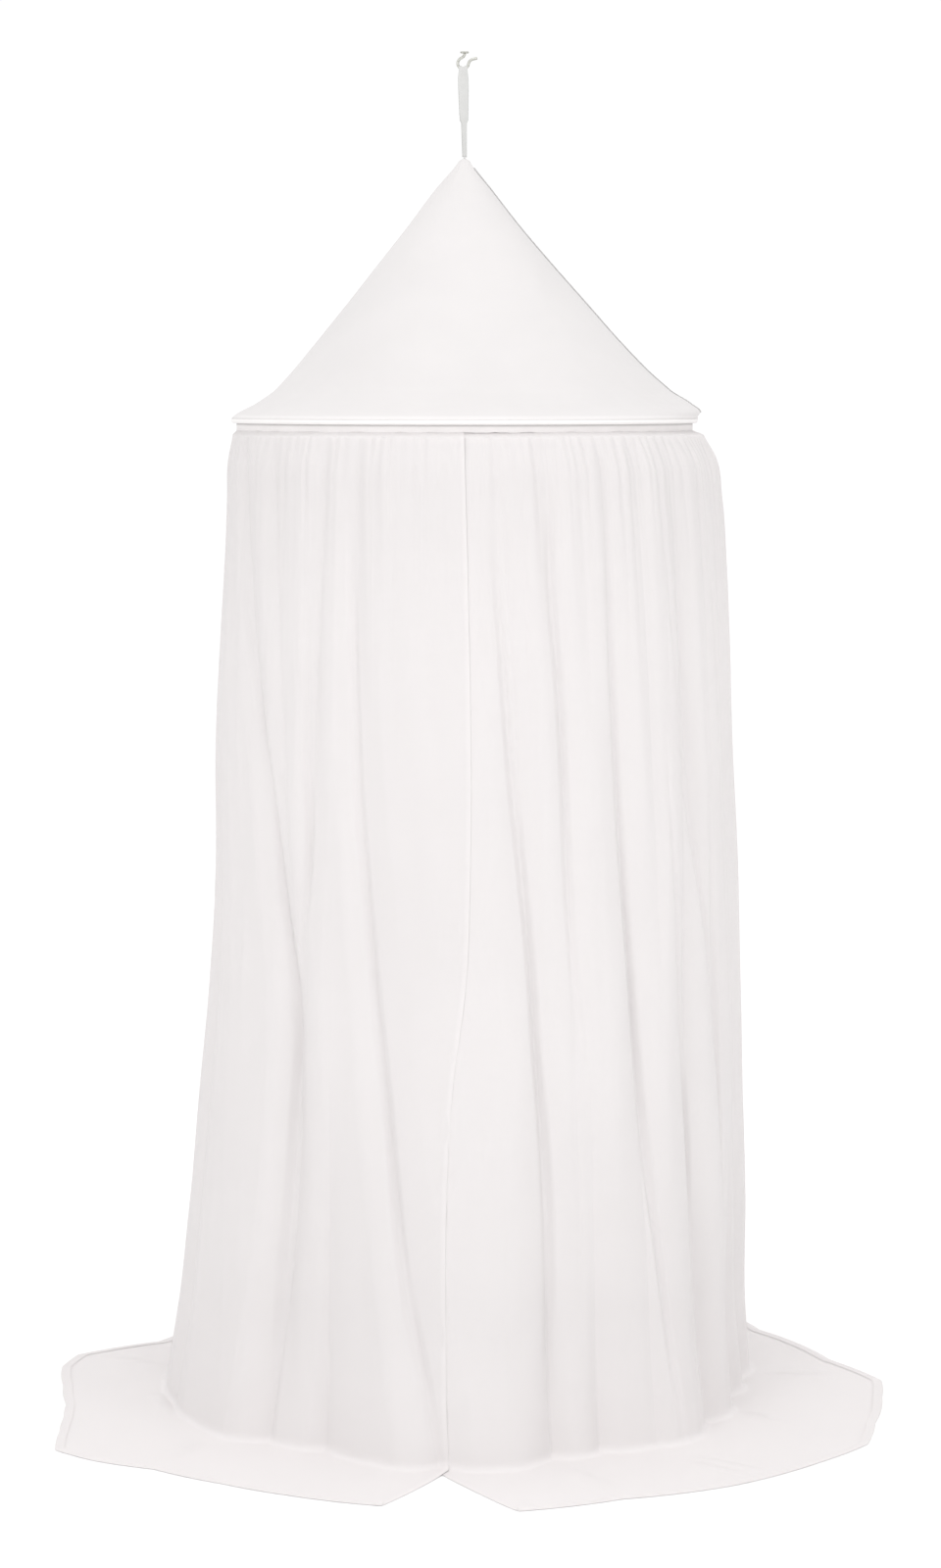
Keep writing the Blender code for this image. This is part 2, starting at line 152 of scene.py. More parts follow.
def finishPiece(name, mesh, material, slot, thickness=0, replaced=()):
    piece = addObject(name, mesh)
    mesh.materials.append(material)
    mesh.shade_smooth()
    if thickness:
        solidify = piece.modifiers.new("thickness", "SOLIDIFY")
        solidify.thickness = thickness
        solidify.offset = 0
    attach(piece, "root")
    if replaced:
        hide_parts(*replaced)
    print("made", name, len(mesh.polygons), "faces")
    return piece


# A grid moved into place: shape takes shares across and down, and gives places and cloth sizes;
# looks are the material, a slot name that nothing reads, and the thickness
def makeSheet(name, grid, shape, *looks, replaced=(), closed=False, flipped=False):
    bm = bmesh.new()
    bmesh.ops.create_grid(bm, x_segments=grid[0], y_segments=grid[1], size=0.5)
    if flipped:
        bmesh.ops.reverse_faces(bm, faces=bm.faces)
    mesh = meshFrom(name, bm)
    flat = np.empty(len(mesh.vertices) * 3)
    mesh.vertices.foreach_get("co", flat)
    flat = flat.reshape(-1, 3)
    places, cloth = shape(flat[:, 0] + 0.5, 0.5 - flat[:, 1])
    mesh.vertices.foreach_set("co", places.ravel())
    corners = np.empty(len(mesh.loops), dtype=np.int32)
    mesh.loops.foreach_get("vertex_index", corners)
    mesh.uv_layers.new(name="cloth").data.foreach_set("uv", cloth[corners].ravel())
    mesh.update()
    if closed:
        bm = bmesh.new()
        bm.from_mesh(mesh)
        bmesh.ops.remove_doubles(bm, verts=bm.verts, dist=0.01 * mm)
        bm.to_mesh(mesh)
        bm.free()
    return finishPiece(name, mesh, *looks, replaced=replaced)


# Beads of thread along a line of places, each with its own outward direction
def sewLine(bm, places, outward, stitch):
    reach = lengthAlong(places)
    for i in range(int(reach[-1] / stitch["pitch"])):
        at = (i + 0.5) * stitch["pitch"]
        first, last = [Vector([np.interp(at + half, reach, places[:, k]) for k in range(3)])
                       for half in (-stitch["length"] / 2, stitch["length"] / 2)]
        normal = Vector([np.interp(at, reach, outward[:, k]) for k in range(3)]).normalized()
        along = (last - first).normalized()
        side = normal.cross(along).normalized()
        normal = along.cross(side)
        place = Matrix((along * stitch["length"] / 2, side * stitch["width"] / 2,
                        normal * stitch["width"] / 2)).transposed().to_4x4()
        place.translation = (first + last) / 2 + normal * stitch["rise"]
        bmesh.ops.create_icosphere(bm, subdivisions=1, radius=1, matrix=place)


# Shader helpers

def fillInputs(tree, node, inputs):
    for name, value in dict(inputs).items():
        if isinstance(value, bpy.types.NodeSocket):
            tree.links.new(value, node.inputs[name])
        else:
            node.inputs[name].default_value = value


# Adds a node, fills its inputs and gives its outputs
def addNode(tree, kind, inputs=(), **settings):
    node = tree.nodes.new("ShaderNode" + kind)
    for name, value in settings.items():
        setattr(node, name, value)
    fillInputs(tree, node, inputs)
    return node.outputs


def addMath(tree, operation, first, second=0.0):
    return addNode(tree, "Math", {0: first, 1: second}, operation=operation)[0]


def blendColours(tree, share, first, second, kind="MIX"):
    return addNode(tree, "Mix", {0: share, 6: first, 7: second}, data_type="RGBA", blend_type=kind)[2]


def remap(tree, value, span, onto=(0.0, 1.0), kind="LINEAR"):
    return addNode(tree, "MapRange", {"Value": value, "From Min": span[0], "From Max": span[1],
                                      "To Min": onto[0], "To Max": onto[1]}, interpolation_type=kind)[0]


def stretchedNoise(tree, vector, scale, detail=2.0):
    stretched = addNode(tree, "Mapping", {"Vector": vector, "Scale": scale})[0]
    return addNode(tree, "TexNoise", {"Vector": stretched, "Scale": 1.0, "Detail": detail})[0]


def startGroup(name, inputs, outputs):
    group = bpy.data.node_groups.new(name, "ShaderNodeTree")
    for direction, sockets in (("INPUT", inputs), ("OUTPUT", outputs)):
        for label, kind in sockets.items():
            group.interface.new_socket(name=label, in_out=direction, socket_type="NodeSocket" + kind)
    return group, group.nodes.new("NodeGroupInput").outputs, group.nodes.new("NodeGroupOutput")


weaveSet = {
    "wander": 90.0, "wanderDetail": 2.0, "wanderReach": 0.6 * mm,  # threads don't run quite straight
    "slubStretch": (40, 900, 1), "slubDetail": 3.0,  # thicker places along the threads
}


# Plain weave: over-and-under threads as a height, and a painted shade that is darker where the threads dip,
# from cloth sizes in metres
def makeWeaveGroup():
    group, given, result = startGroup(
        "plainWeave", {"Cloth": "Vector", "Threads": "Float", "Slub": "Float"},
        {"Height": "Float", "PaintedGapShade": "Float"})
    wander = addNode(group, "TexNoise", {"Vector": given["Cloth"], "Scale": weaveSet["wander"],
                                         "Detail": weaveSet["wanderDetail"]})["Color"]
    reach = weaveSet["wanderReach"]
    pushed = addNode(group, "VectorMath", {0: wander, "Scale": reach}, operation="SCALE")[0]
    bent = addNode(group, "VectorMath", {0: given["Cloth"], 1: pushed}, operation="ADD")[0]
    sides = addNode(group, "SeparateXYZ", {0: bent})
    perMetre = addMath(group, "MULTIPLY", given["Threads"], pi)
    warp, weft = [addMath(group, "SINE", addMath(group, "MULTIPLY", sides[k], perMetre)) for k in (0, 1)]
    crossed = addMath(group, "MULTIPLY", warp, weft)
    slub = stretchedNoise(group, given["Cloth"], weaveSet["slubStretch"], weaveSet["slubDetail"])
    uneven = addMath(group, "MULTIPLY", slub, given["Slub"])
    # painted shade: darker where the threads dip
    gapShade = addMath(group, "ADD", addMath(group, "MULTIPLY", crossed, 0.5), 0.5)
    fillInputs(group, result, {"Height": addMath(group, "ADD", crossed, uneven), "PaintedGapShade": gapShade})
    return group


netSet = {"slant": 0.6, "threadEdge": (-0.2, 0.4)}


# Net: two sets of slanting threads, 1 on a thread and 0 in a hole
def makeNetGroup():
    group, given, result = startGroup(
        "fineNet", {"Cloth": "Vector", "Pitch": "Float", "Thread": "Float"},
        {"Cover": "Float", "Height": "Float"})
    sides = addNode(group, "SeparateXYZ", {0: given["Cloth"]})
    covers = []
    for slant in (netSet["slant"], -netSet["slant"]):
        leaning = addMath(group, "ADD", sides[0], addMath(group, "MULTIPLY", sides[1], slant))
        steps = addMath(group, "DIVIDE", leaning, given["Pitch"])
        away = addMath(group, "DIVIDE", addMath(group, "PINGPONG", steps, 0.5), given["Thread"])
        covers.append(addMath(group, "SUBTRACT", 1.0, away))
    cover = addMath(group, "MAXIMUM", *covers)
    shown = remap(group, cover, netSet["threadEdge"], kind="SMOOTHSTEP")
    fillInputs(group, result, {"Cover": shown, "Height": cover})
    return group


mottleSet = {"detail": 4.0, "roughness": 0.6, "spread": (0.3, 0.7)}


# Broad, faint unevenness between a light and a dark tone
def makeMottleGroup():
    group, given, result = startGroup(
        "softMottle", {"Place": "Vector", "Light": "Color", "Dark": "Color", "Size": "Float"},
        {"Color": "Color", "Mask": "Float"})
    broad = addNode(group, "TexNoise", {"Vector": given["Place"], "Scale": given["Size"],
                                        "Detail": mottleSet["detail"], "Roughness": mottleSet["roughness"]})
    mask = remap(group, broad[0], mottleSet["spread"], kind="SMOOTHSTEP")
    colour = blendColours(group, mask, given["Dark"], given["Light"])
    fillInputs(group, result, {"Color": colour, "Mask": mask})
    return group


weaveGroup = makeWeaveGroup()
netGroup = makeNetGroup()
mottleGroup = makeMottleGroup()


def startMaterial(name, values):
    material = bpy.data.materials.new(name)
    material.use_nodes = True
    tree = material.node_tree
    shader = tree.nodes["Principled BSDF"]
    fillInputs(tree, shader, {"Roughness": values["roughness"], "Metallic": values.get("metallic", 0.0),
                              "Sheen Weight": values.get("sheen", 0.0), "Sheen Roughness": 0.5})
    place = addNode(tree, "TexCoord")["Object"]
    mottle = addNode(tree, "Group", {"Place": place, "Light": values["light"], "Dark": values["dark"],
                                     "Size": values["mottle"]}, node_tree=mottleGroup)
    return material, tree, shader, place, mottle


def readCloth(tree):
    return addNode(tree, "UVMap", uv_map="cloth")[0]


# Painted light and shade: a brightness that follows the height, from a short table
def paintLightAndShadeByHeight(tree, place, values):
    height = addNode(tree, "SeparateXYZ", {0: place})[2]
    ramp = tree.nodes.new("ShaderNodeValToRGB")
    fillInputs(tree, ramp, {0: remap(tree, height, values["paintedSpan"])})
    stops = ramp.color_ramp.elements
    for at in column(values["paintedLightAndShade"][1:-1], 0):
        stops.new(at)
    for stop, (at, value) in zip(stops, values["paintedLightAndShade"]):
        stop.position = at
        stop.color = (value, value, value, 1)
    return ramp.outputs[0]


def addRelief(tree, shader, height, values):
    bump = addNode(tree, "Bump", {"Height": height, "Strength": values["bump"],
                                  "Distance": values["relief"]})
    fillInputs(tree, shader, {"Normal": bump[0]})


# Woven cloth: roof, casing, tapes and thread differ only in these values
closeWeave = {"threads": 1500, "slub": 1.2, "gaps": 0.93, "relief": 0.3 * mm}
clothFinishes = {
    "roofCloth": {
        **closeWeave, "light": (0.80, 0.776, 0.773, 1), "dark": (0.776, 0.753, 0.75, 1), "mottle": 5.0,
        "bump": 0.12, "roughness": 0.82, "sheen": 0.15,
        # painted light: the foot, where the roof meets the casing, is painted lighter over the shade of the
        # crease there
        "paintedSpan": (-0.645, -0.615), "paintedLightAndShade": [(0, 0.95), (0.22, 0.95), (0.40, 0.865), (1, 0.853)],
    },
    "casingCloth": {
        **closeWeave, "light": (0.84, 0.82, 0.812, 1), "dark": (0.82, 0.80, 0.792, 1), "mottle": 20.0,
        "bump": 0.15, "roughness": 0.8, "sheen": 0.15,
    },
    "headingCotton": {
        **closeWeave, "light": (0.84, 0.812, 0.808, 1), "dark": (0.81, 0.783, 0.779, 1), "mottle": 30.0,
        "threads": 1100, "slub": 1.6, "bump": 0.3, "roughness": 0.88, "sheen": 0.1,
        # painted shadow: the top of the tape, just under the casing, is painted darker
        "paintedSpan": (-0.662, -0.643), "paintedLightAndShade": [(0, 1), (0.46, 1), (0.60, 0.74), (1, 0.7)],
    },
    # darker than the roof: partly the doubled seam's own tone, partly painted shade for the seam's shadow
    # line
    "seamClothAndShade": {
        **closeWeave, "light": (0.58, 0.57, 0.568, 1), "dark": (0.55, 0.541, 0.539, 1), "mottle": 20.0,
        "bump": 0.15, "roughness": 0.85, "sheen": 0.1,
    },
    "strapWebbing": {
        **closeWeave, "light": (0.565, 0.565, 0.555, 1), "dark": (0.545, 0.545, 0.535, 1), "mottle": 40.0,
        "threads": 900, "slub": 0.4, "gaps": 0.985, "bump": 0.1, "roughness": 0.8, "sheen": 0.1,
    },
}


def makeClothMaterial(name):
    values = clothFinishes[name]
    material, tree, shader, place, mottle = startMaterial(name, values)
    weave = addNode(tree, "Group", {"Cloth": readCloth(tree), "Threads": values["threads"],
                                    "Slub": values["slub"]}, node_tree=weaveGroup)
    gaps = values["gaps"]
    # painted shade between the threads, darker where the weave is low
    gapShade = blendColours(tree, weave["PaintedGapShade"], (gaps, gaps, gaps, 1), (1, 1, 1, 1))
    colour = blendColours(tree, 1.0, mottle["Color"], gapShade, "MULTIPLY")
    # painted light and shade by height, for the cloths that have a table of it
    if "paintedLightAndShade" in values:
        colour = blendColours(tree, 1.0, colour, paintLightAndShadeByHeight(tree, place, values), "MULTIPLY")
    fillInputs(tree, shader, {"Base Color": colour})
    addRelief(tree, shader, weave["Height"], values)
    return material


netFinish = {
    "light": (0.91, 0.876, 0.874, 1), "dark": (0.89, 0.856, 0.854, 1), "mottle": 2.5, "roughness": 0.85,
    "sheen": 0.1, "pitch": 1.5 * mm, "thread": 0.20, "bump": 0.1, "relief": 0.2 * mm,
    "alpha": (0.79, 0.97),  # in the holes, on the threads
    "paintedSpan": (-2.40, -0.66),
    "paintedLightAndShade": [
        # share of the height, painted light and shade: darker towards the foot, a painted dip where the
        # foot bends onto the floor, lighter just under the tape, lightest on the floor, where the net lies
        # in one sheer layer
        (0, 0.925), (0.0008, 0.92), (0.002, 0.875), (0.006, 0.858), (0.05, 0.835), (0.14, 0.80),
        (0.45, 0.82), (0.8, 0.82), (0.955, 0.79), (0.99, 0.785), (1, 0.86),
    ],
    "edge": (0.01472, 0.00736),  # metres across the cloth, over which the front edge is painted lighter, a painted highlight along its fold
    "edgeHighlight": (1.0, 1.04),
}


def makeNetMaterial():
    values = netFinish
    material, tree, shader, place, mottle = startMaterial("netSheer", values)
    cloth = readCloth(tree)
    net = addNode(tree, "Group", {"Cloth": cloth, "Pitch": values["pitch"], "Thread": values["thread"]},
                  node_tree=netGroup)
    # painted light and shade by height
    colour = blendColours(tree, 1.0, mottle["Color"], paintLightAndShadeByHeight(tree, place, values), "MULTIPLY")
    across = addNode(tree, "SeparateXYZ", {0: cloth})[0]
    # painted highlight along the upper end's folded edge
    lift = remap(tree, across, values["edge"], values["edgeHighlight"])
    edgeHighlighted = addNode(tree, "VectorMath", {0: colour, "Scale": lift}, operation="SCALE")[0]
    alpha = remap(tree, net["Cover"], (0.0, 1.0), values["alpha"])
    fillInputs(tree, shader, {"Base Color": edgeHighlighted, "Alpha": alpha})
    addRelief(tree, shader, net["Height"], values)
    return material


# Plain hard surfaces: the hook's metal and the hoop's rod
hardFinishes = {
    "hookMetal": {
        "light": (0.62, 0.62, 0.58, 1), "dark": (0.40, 0.40, 0.37, 1), "mottle": 260.0, "metallic": 1.0,
        "roughness": 0.48, "smooth": 0.28, "grain": (900, 900, 4000), "bump": 0.12, "relief": 0.1 * mm,
    },
    "hoopRod": {
        "light": (0.62, 0.62, 0.60, 1), "dark": (0.56, 0.56, 0.54, 1), "mottle": 60.0,
        "roughness": 0.45, "smooth": 0.45, "grain": (700, 700, 700), "bump": 0.1, "relief": 0.2 * mm,
    },
}


# Roughness runs from "roughness" in the dark places to "smooth" in the light ones
def makeHardMaterial(name):
    values = hardFinishes[name]
    material, tree, shader, place, mottle = startMaterial(name, values)
    rough = remap(tree, mottle["Mask"], (0.0, 1.0), (values["roughness"], values["smooth"]))
    fillInputs(tree, shader, {"Base Color": mottle["Color"], "Roughness": rough})
    addRelief(tree, shader, stretchedNoise(tree, place, values["grain"]), values)
    return material


cloths = {name: makeClothMaterial(name) for name in clothFinishes}
netMaterial = makeNetMaterial()
metalMaterial = makeHardMaterial("hookMetal")
rodMaterial = makeHardMaterial("hoopRod")
print("materials made")


# Camera, light and floor

cameraSet = {"place": (0.0105, -6.15, -0.5934), "lookDown": 6.519, "lens": 78.9, "sensor": 36.0}


def placeCamera():
    data = bpy.data.cameras.new("camera")
    data.lens = cameraSet["lens"]
    data.sensor_width = cameraSet["sensor"]
    camera = addObject("camera", data)
    camera.location = cameraSet["place"]
    camera.rotation_euler = (radians(90 - cameraSet["lookDown"]), 0, 0)
    bpy.context.scene.camera = camera


studioSet = {
    "world": 1.03,
    "floorRadius": 30.0, "floorSides": 96, "floorDrop": 0.5 * mm, "floorRoughness": 0.9,
    "white": (1, 1, 1, 1),
    "lamps": [
        # name, place, aimed at, size, watts
        ("keyLeft", (-2.9, -4.9, 0.9), (0, 0, -1.3), 2.2, 44),
        ("topSoft", (0.1, -2.0, 2.6), (0.0, -0.2, -2.2), 2.2, 33),
        ("fillRight", (3.6, -3.6, -0.2), (0.2, 0, -1.4), 2.0, 23),
    ],
}


def lightStudio():
    world = bpy.data.worlds.new("paleRoom")
    bpy.context.scene.world = world
    world.use_nodes = True
    fillInputs(world.node_tree, world.node_tree.nodes["Background"],
               {"Color": studioSet["white"], "Strength": studioSet["world"]})
    for name, place, aim, size, watts in studioSet["lamps"]:
        data = bpy.data.lights.new(name, "AREA")
        data.energy = watts
        data.size = size
        lamp = addObject(name, data)
        lamp.location = place
        lamp.rotation_euler = (Vector(aim) - Vector(place)).to_track_quat("-Z", "Y").to_euler()
    bpy.context.scene.view_settings.view_transform = "Standard"


def layFloor():
    bm = bmesh.new()
    bmesh.ops.create_circle(bm, cap_ends=True, segments=studioSet["floorSides"],
                            radius=studioSet["floorRadius"])
    bmesh.ops.translate(bm, verts=bm.verts, vec=(0, 0, floorZ - studioSet["floorDrop"]))
    floor = addObject("studioFloor", meshFrom("studioFloor", bm))
    material = bpy.data.materials.new("paleFloor")
    material.use_nodes = True
    fillInputs(material.node_tree, material.node_tree.nodes["Principled BSDF"],
               {"Base Color": studioSet["white"], "Roughness": studioSet["floorRoughness"]})
    floor.data.materials.append(material)


placeCamera()
lightStudio()
layFloor()
print("camera and studio placed")


# Net skirt: one width gathered under the rim, its left end over its right one at the front

skirt = {
    "flat": (4.6, 1.95),
    "frontStep": 0.36, "backStep": 1.0,  # degrees from column to column
    "frontShares": (0.27, 0.73), "stepBlend": 0.03,  # the back lies between these shares of the cloth
    "columnSpots": 4001,
    "clothTurn": (0.0, -389.0),  # the two ends' angles at the heading
    "endPull": 0.15,  # how far along the cloth an end's pull reaches
    "tuckUp": 7 * mm, "tuckRow": 1.2 * mm, "behindTape": 1.0 * mm,  # the net goes up behind the tape
    "firstStep": 2.2 * mm, "stepGrowth": 1.09, "longStep": 24 * mm,
    "footZ": -2.385, "bendRadius": 14 * mm, "bendRows": 5,
    "lyingRows": 17, "lyingGap": 0.4 * mm,
    # back from the hem's edge, and height there, from under the fold to its sewn edge
    "hemTurn": [(0.8 * mm, 0), (0, 0.55 * mm), (0.8 * mm, 1.1 * mm), (18 * mm, 0.75 * mm)],
    "edgeShare": 0.003,  # share of the cloth that is turned under at each end
    "edgeTight": 0.00012, "edgeTucks": [1, 1, 0.5, 0, 0], "edgeTuck": 0.4 * mm,
    "lapAngles": (26, 6), "lapFade": 26 * mm,
    "lapBlend": 8,  # degrees over which the gathers of the two layers fall together
    "lapDepths": (2.4 * mm, 3.6 * mm),  # the under layer behind the upper, at the tape and lower down
    "settleGap": (1.1 * mm, 0.8 * mm),  # the upper end over the under layer, at the tape and lower down
    "settleReach": 0.010,
    "lapLift": 1.8 * mm, "lapLiftTo": 0.35,  # on the floor, where the two ends cross
    # metres below the tape's foot: where a change begins, and what it takes up
    "puffRise": (-1.5 * mm, 11 * mm),
    "gatherRise": (-1.0 * mm, 9 * mm),
    "foldRise": (0, 50 * mm),
    "waveRise": (0, 0.1),
    "settleRise": (0.01, 0.06),
    "gapRise": (0.1, 0.3),
    "crumpleRise": (0.75, 0.3),
    "outline": [
        # z, radius at the left, radius at the right, on the gathers' crests
        (-0.673, 0.413, 0.426), (-0.705, 0.421, 0.446), (-0.78, 0.4246, 0.4596), (-0.89, 0.4308, 0.4673),
        (-1.04, 0.439, 0.474), (-1.22, 0.446, 0.48), (-1.43, 0.4475, 0.4905), (-1.65, 0.46, 0.5),
        (-1.86, 0.481, 0.508), (-2.07, 0.503, 0.5155), (-2.25, 0.523, 0.5215), (-2.385, 0.545, 0.533),
    ],
    "ends": [
        # z, angle of the upper end, angle of the end under it
        (-0.66, 0, -29), (-0.9, 0.8, -26), (-1.37, 1.3, -21.5), (-1.57, 0.5, -19.3), (-1.77, -2.4, -16),
        (-1.97, -3.5, -13), (-2.16, -3.5, -9.8), (-2.31, -3.3, -7), (-2.385, -2.9, -5.3),
    ],
    "floorEnds": [(0, -2.9, -5.3), (0.5, -7, 1.4), (1, -10.7, 6.8)],
    "foldHeights": (-0.66, -1.2, -1.75, -2.385),
    "foldSharpness": 1.5,
    "folds": [
        # angle at each of the four heights, depth in mm at each, half width at top and foot
        ((7.5, 11.2, 15.2, 17.5), (7, 14, 20, 36), (6, 9)),
        ((17.5, 21.2, 23, 25), (8, 13, 7, 0), (5, 6)),
        ((22, 24, 26, 28), (0, 0, 4, 46), (10, 17)),
        ((32.5, 34.3, 37.6, 39.5), (8, 14, 18, 8), (6, 7)),
        ((41, 42.6, 44, 45), (8, 6, 0, 0), (5, 5)),
        ((51.5, 56, 64, 70), (8, 14, 8, 0), (5, 7)),
        ((55, 54.4, 52.2, 58), (0, 9, 22, 38), (5, 9)),
        ((70, 72, 74, 76), (0, 0, 6, 50), (12, 19)),
        ((74, 76, 79, 90), (8, 10, 14, 34), (6, 8)),
        ((95, 99, 108, 113), (7, 14, 20, 30), (7, 10)),
        ((116, 121, 128, 131), (9, 16, 22, 34), (7, 10)),
        ((133, 138, 143, 149), (6, 10, 18, 26), (6, 9)),
        ((151, 155, 163, 167), (9, 18, 26, 38), (8, 11)),
        ((172, 173, 177, 180), (7, 9, 5, 0), (6, 7)),
        ((188, 188, 189, 191), (9, 17, 24, 36), (7, 11)),
        ((206, 205, 208, 212), (6, 12, 18, 28), (6, 9)),
        ((223, 223, 227, 229), (9, 16, 14, 10), (7, 8)),
        ((240, 239, 241, 243), (7, 13, 22, 36), (7, 10)),
        ((256, 257, 258, 259), (8, 12, 16, 24), (6, 8)),
        ((274, 279, 284, 287), (7, 12, 14, 10), (6, 7)),
        ((293, 308.5, 321.5, 318), (8, 15, 22, 34), (6, 9)),
        ((309, 316, 320, 322), (7, 8, 2, 0), (5, 5)),
        ((327, 325, 321.5, 320), (8, 12, 6, 0), (5, 6)),
        ((330, 330, 331, 331), (0, 0, 6, 60), (12, 20)),
        ((334.5, 337, 343.5, 355), (5, 8, 10, 20), (5, 8)),
    ],
    "creaseWidth": 1.35,
    "creaseSharpness": 2.0,
    "creases": [
        # rows of height, angle and depth in mm, from the top down
        [(-0.85, -66, 0), (-1.03, -58.3, 4), (-1.23, -49.5, 6), (-1.43, -45.3, 6), (-1.61, -40.2, 7),
         (-1.9, -39.8, 6), (-2.12, -41.1, 5), (-2.33, -42, 2)],
        [(-0.88, -38.3, 0), (-1.2, -36.7, 4), (-1.39, -36.4, 5), (-1.5, -38, 4), (-1.66, -39.6, 0)],
        [(-0.78, -26.6, 0), (-0.97, -25.1, 3), (-1.3, -22.8, 5), (-1.6, -18.8, 6), (-1.79, -15.7, 7),
         (-2, -13, 7), (-2.14, -10.6, 6), (-2.27, -6.8, 3), (-2.35, -5.4, 0)],
        [(-0.76, 5.8, 0), (-0.97, 7.6, 4), (-1.21, 9.8, 6), (-1.41, 12.3, 6), (-1.54, 13.8, 6),
         (-1.71, 15, 7), (-1.87, 16.5, 8), (-2.04, 17.2, 7), (-2.2, 17, 4), (-2.32, 16.7, 0)],
        [(-0.73, 19.6, 0), (-0.9, 18.7, 4), (-1.05, 20, 5), (-1.18, 21, 5), (-1.43, 22, 4),
         (-1.63, 23.6, 3), (-1.8, 24.5, 0)],
        [(-0.76, 32.2, 0), (-1.05, 32.8, 5), (-1.2, 33.7, 5), (-1.35, 34.7, 6), (-1.64, 37.2, 8),
         (-1.81, 38.6, 8), (-1.96, 40, 8), (-2.1, 41.8, 7), (-2.24, 43.6, 5), (-2.36, 45, 2)],
        [(-0.74, 47.4, 0), (-0.98, 50, 4), (-1.2, 54, 5), (-1.4, 58, 5), (-1.6, 61.5, 3), (-1.8, 64, 0)],
        [(-0.78, 66, 0), (-1.07, 68.2, 4), (-1.33, 69.9, 4), (-1.6, 71, 4), (-1.9, 72, 0)],
        [(-1.1, 46.4, 0), (-1.48, 48.9, 5), (-1.68, 50.2, 6), (-1.86, 52.3, 7), (-2.08, 53, 7),
         (-2.26, 52.9, 5), (-2.36, 53, 2)],
        [(-1.25, 62.4, 0), (-1.41, 62.9, 4), (-1.63, 63.8, 6), (-1.93, 65.4, 7), (-2.25, 66, 6),
         (-2.36, 66, 2)],
    ],
    "gathers": [
        # number across the cloth, depth, starts below the tape, full by, fades over, unevenness
        (141, 5.5 * mm, 0.0, 10 * mm, 0.10, 0.45),
        (67, 6.0 * mm, 8 * mm, 50 * mm, 0.20, 0.8),
        (33, 5.0 * mm, 40 * mm, 140 * mm, 0.42, 1.1),
    ],
    "gatherWander": [(1.0, 8.3, 1.7), (0.7, 3.7, 0.4)],  # amount, gathers to a swing, start
    "gatherDrift": (0.9, 5.2),  # amount, swings across the cloth
    "gatherSizes": (0.28, (5.1, 0.9), (2.3, 2.1)),  # spread, and two swings: gathers to each, start
    "gatherLean": 0.3,  # the gathers grow deeper from the left to the right
    "waves": [
        # number round, depth at the top, depth at the foot, turn per metre down
        (19, 0.84 * mm, 1.82 * mm, 0.9), (31, 0.63 * mm, 0.98 * mm, -1.3),
        (53, 0.35 * mm, 0.28 * mm, 2.1),
    ],
    "waveWander": (1.5, 3),
    # the front edge's crumple: depth, its two lengths, a swing and its rate, share of the cloth
    "crumple": (1.5 * mm, 0.137, 0.231, 2, 19, 0.004),
    "hem": [
        # angle, radius
        (-353.2, 0.748), (-339, 0.729), (-324, 0.757), (-309, 0.775), (-299, 0.796), (-290, 0.77),
        (-278, 0.762), (-270, 0.766), (-259, 0.699), (-239, 0.665), (-222, 0.712), (-201, 0.684),
        (-180, 0.722), (-158, 0.69), (-135, 0.705), (-120, 0.632), (-114, 0.64), (-103, 0.75), (-97, 0.756),
        (-87.5, 0.735), (-78, 0.731), (-72, 0.747), (-66, 0.775), (-59.2, 0.818), (-52.8, 0.79),
        (-45, 0.741), (-34, 0.724), (-24, 0.722), (-10.7, 0.728),
    ],
    "floorCreases": [
        # from angle and radius, to angle and radius, height in mm, half width in mm
        (94, 0.566, 93, 0.682, 5, 10), (68, 0.551, 65, 0.606, 5, 9), (38.6, 0.628, 40.6, 0.734, 4, 9),
        (41.4, 0.628, 43.4, 0.734, 4, 9), (-80, 0.56, -67, 0.564, 6, 9), (-50, 0.6, -47, 0.7, 3, 16),
        (19, 0.56, 22, 0.68, 3, 14), (128, 0.56, 133, 0.67, 6, 12), (163, 0.55, 168, 0.66, 7, 12),
        (-172, 0.56, -166, 0.67, 5, 12), (-150, 0.57, -146, 0.66, 6, 11), (-118, 0.55, -121, 0.62, 7, 11),
        (-100, 0.59, -104, 0.7, 4, 14),
    ],
    "floorCreaseEnds": 0.15,  # phase at which a floor crease starts and ends
}


# Rows down to the floor, out to the hem, and back for its turn: height, degrees bent outwards,
# share of the way out to the hem, how far back, how far lifted
def skirtRows():
    heights = [tapeFootZ + skirt["tuckUp"], tapeFootZ + skirt["tuckRow"]]
    foot = skirt["footZ"]
    z = tapeFootZ
    step = skirt["firstStep"]
    while z > foot:
        heights.append(z)
        z -= step
        step = min(step * skirt["stepGrowth"], skirt["longStep"])
    bends = skirt["bendRows"]
    lying = skirt["lyingRows"]
    rows = [(height, 0, 0, 0, 0) for height in heights]
    rows += [(foot, 90 * i / bends, 0, 0, 0) for i in range(bends + 1)]
    rows += [(foot, 90, i / lying, 0, 0) for i in range(1, lying)]
    rows += [(foot, 90, 1, back, lift) for back, lift in skirt["hemTurn"]]
    return np.array(rows)


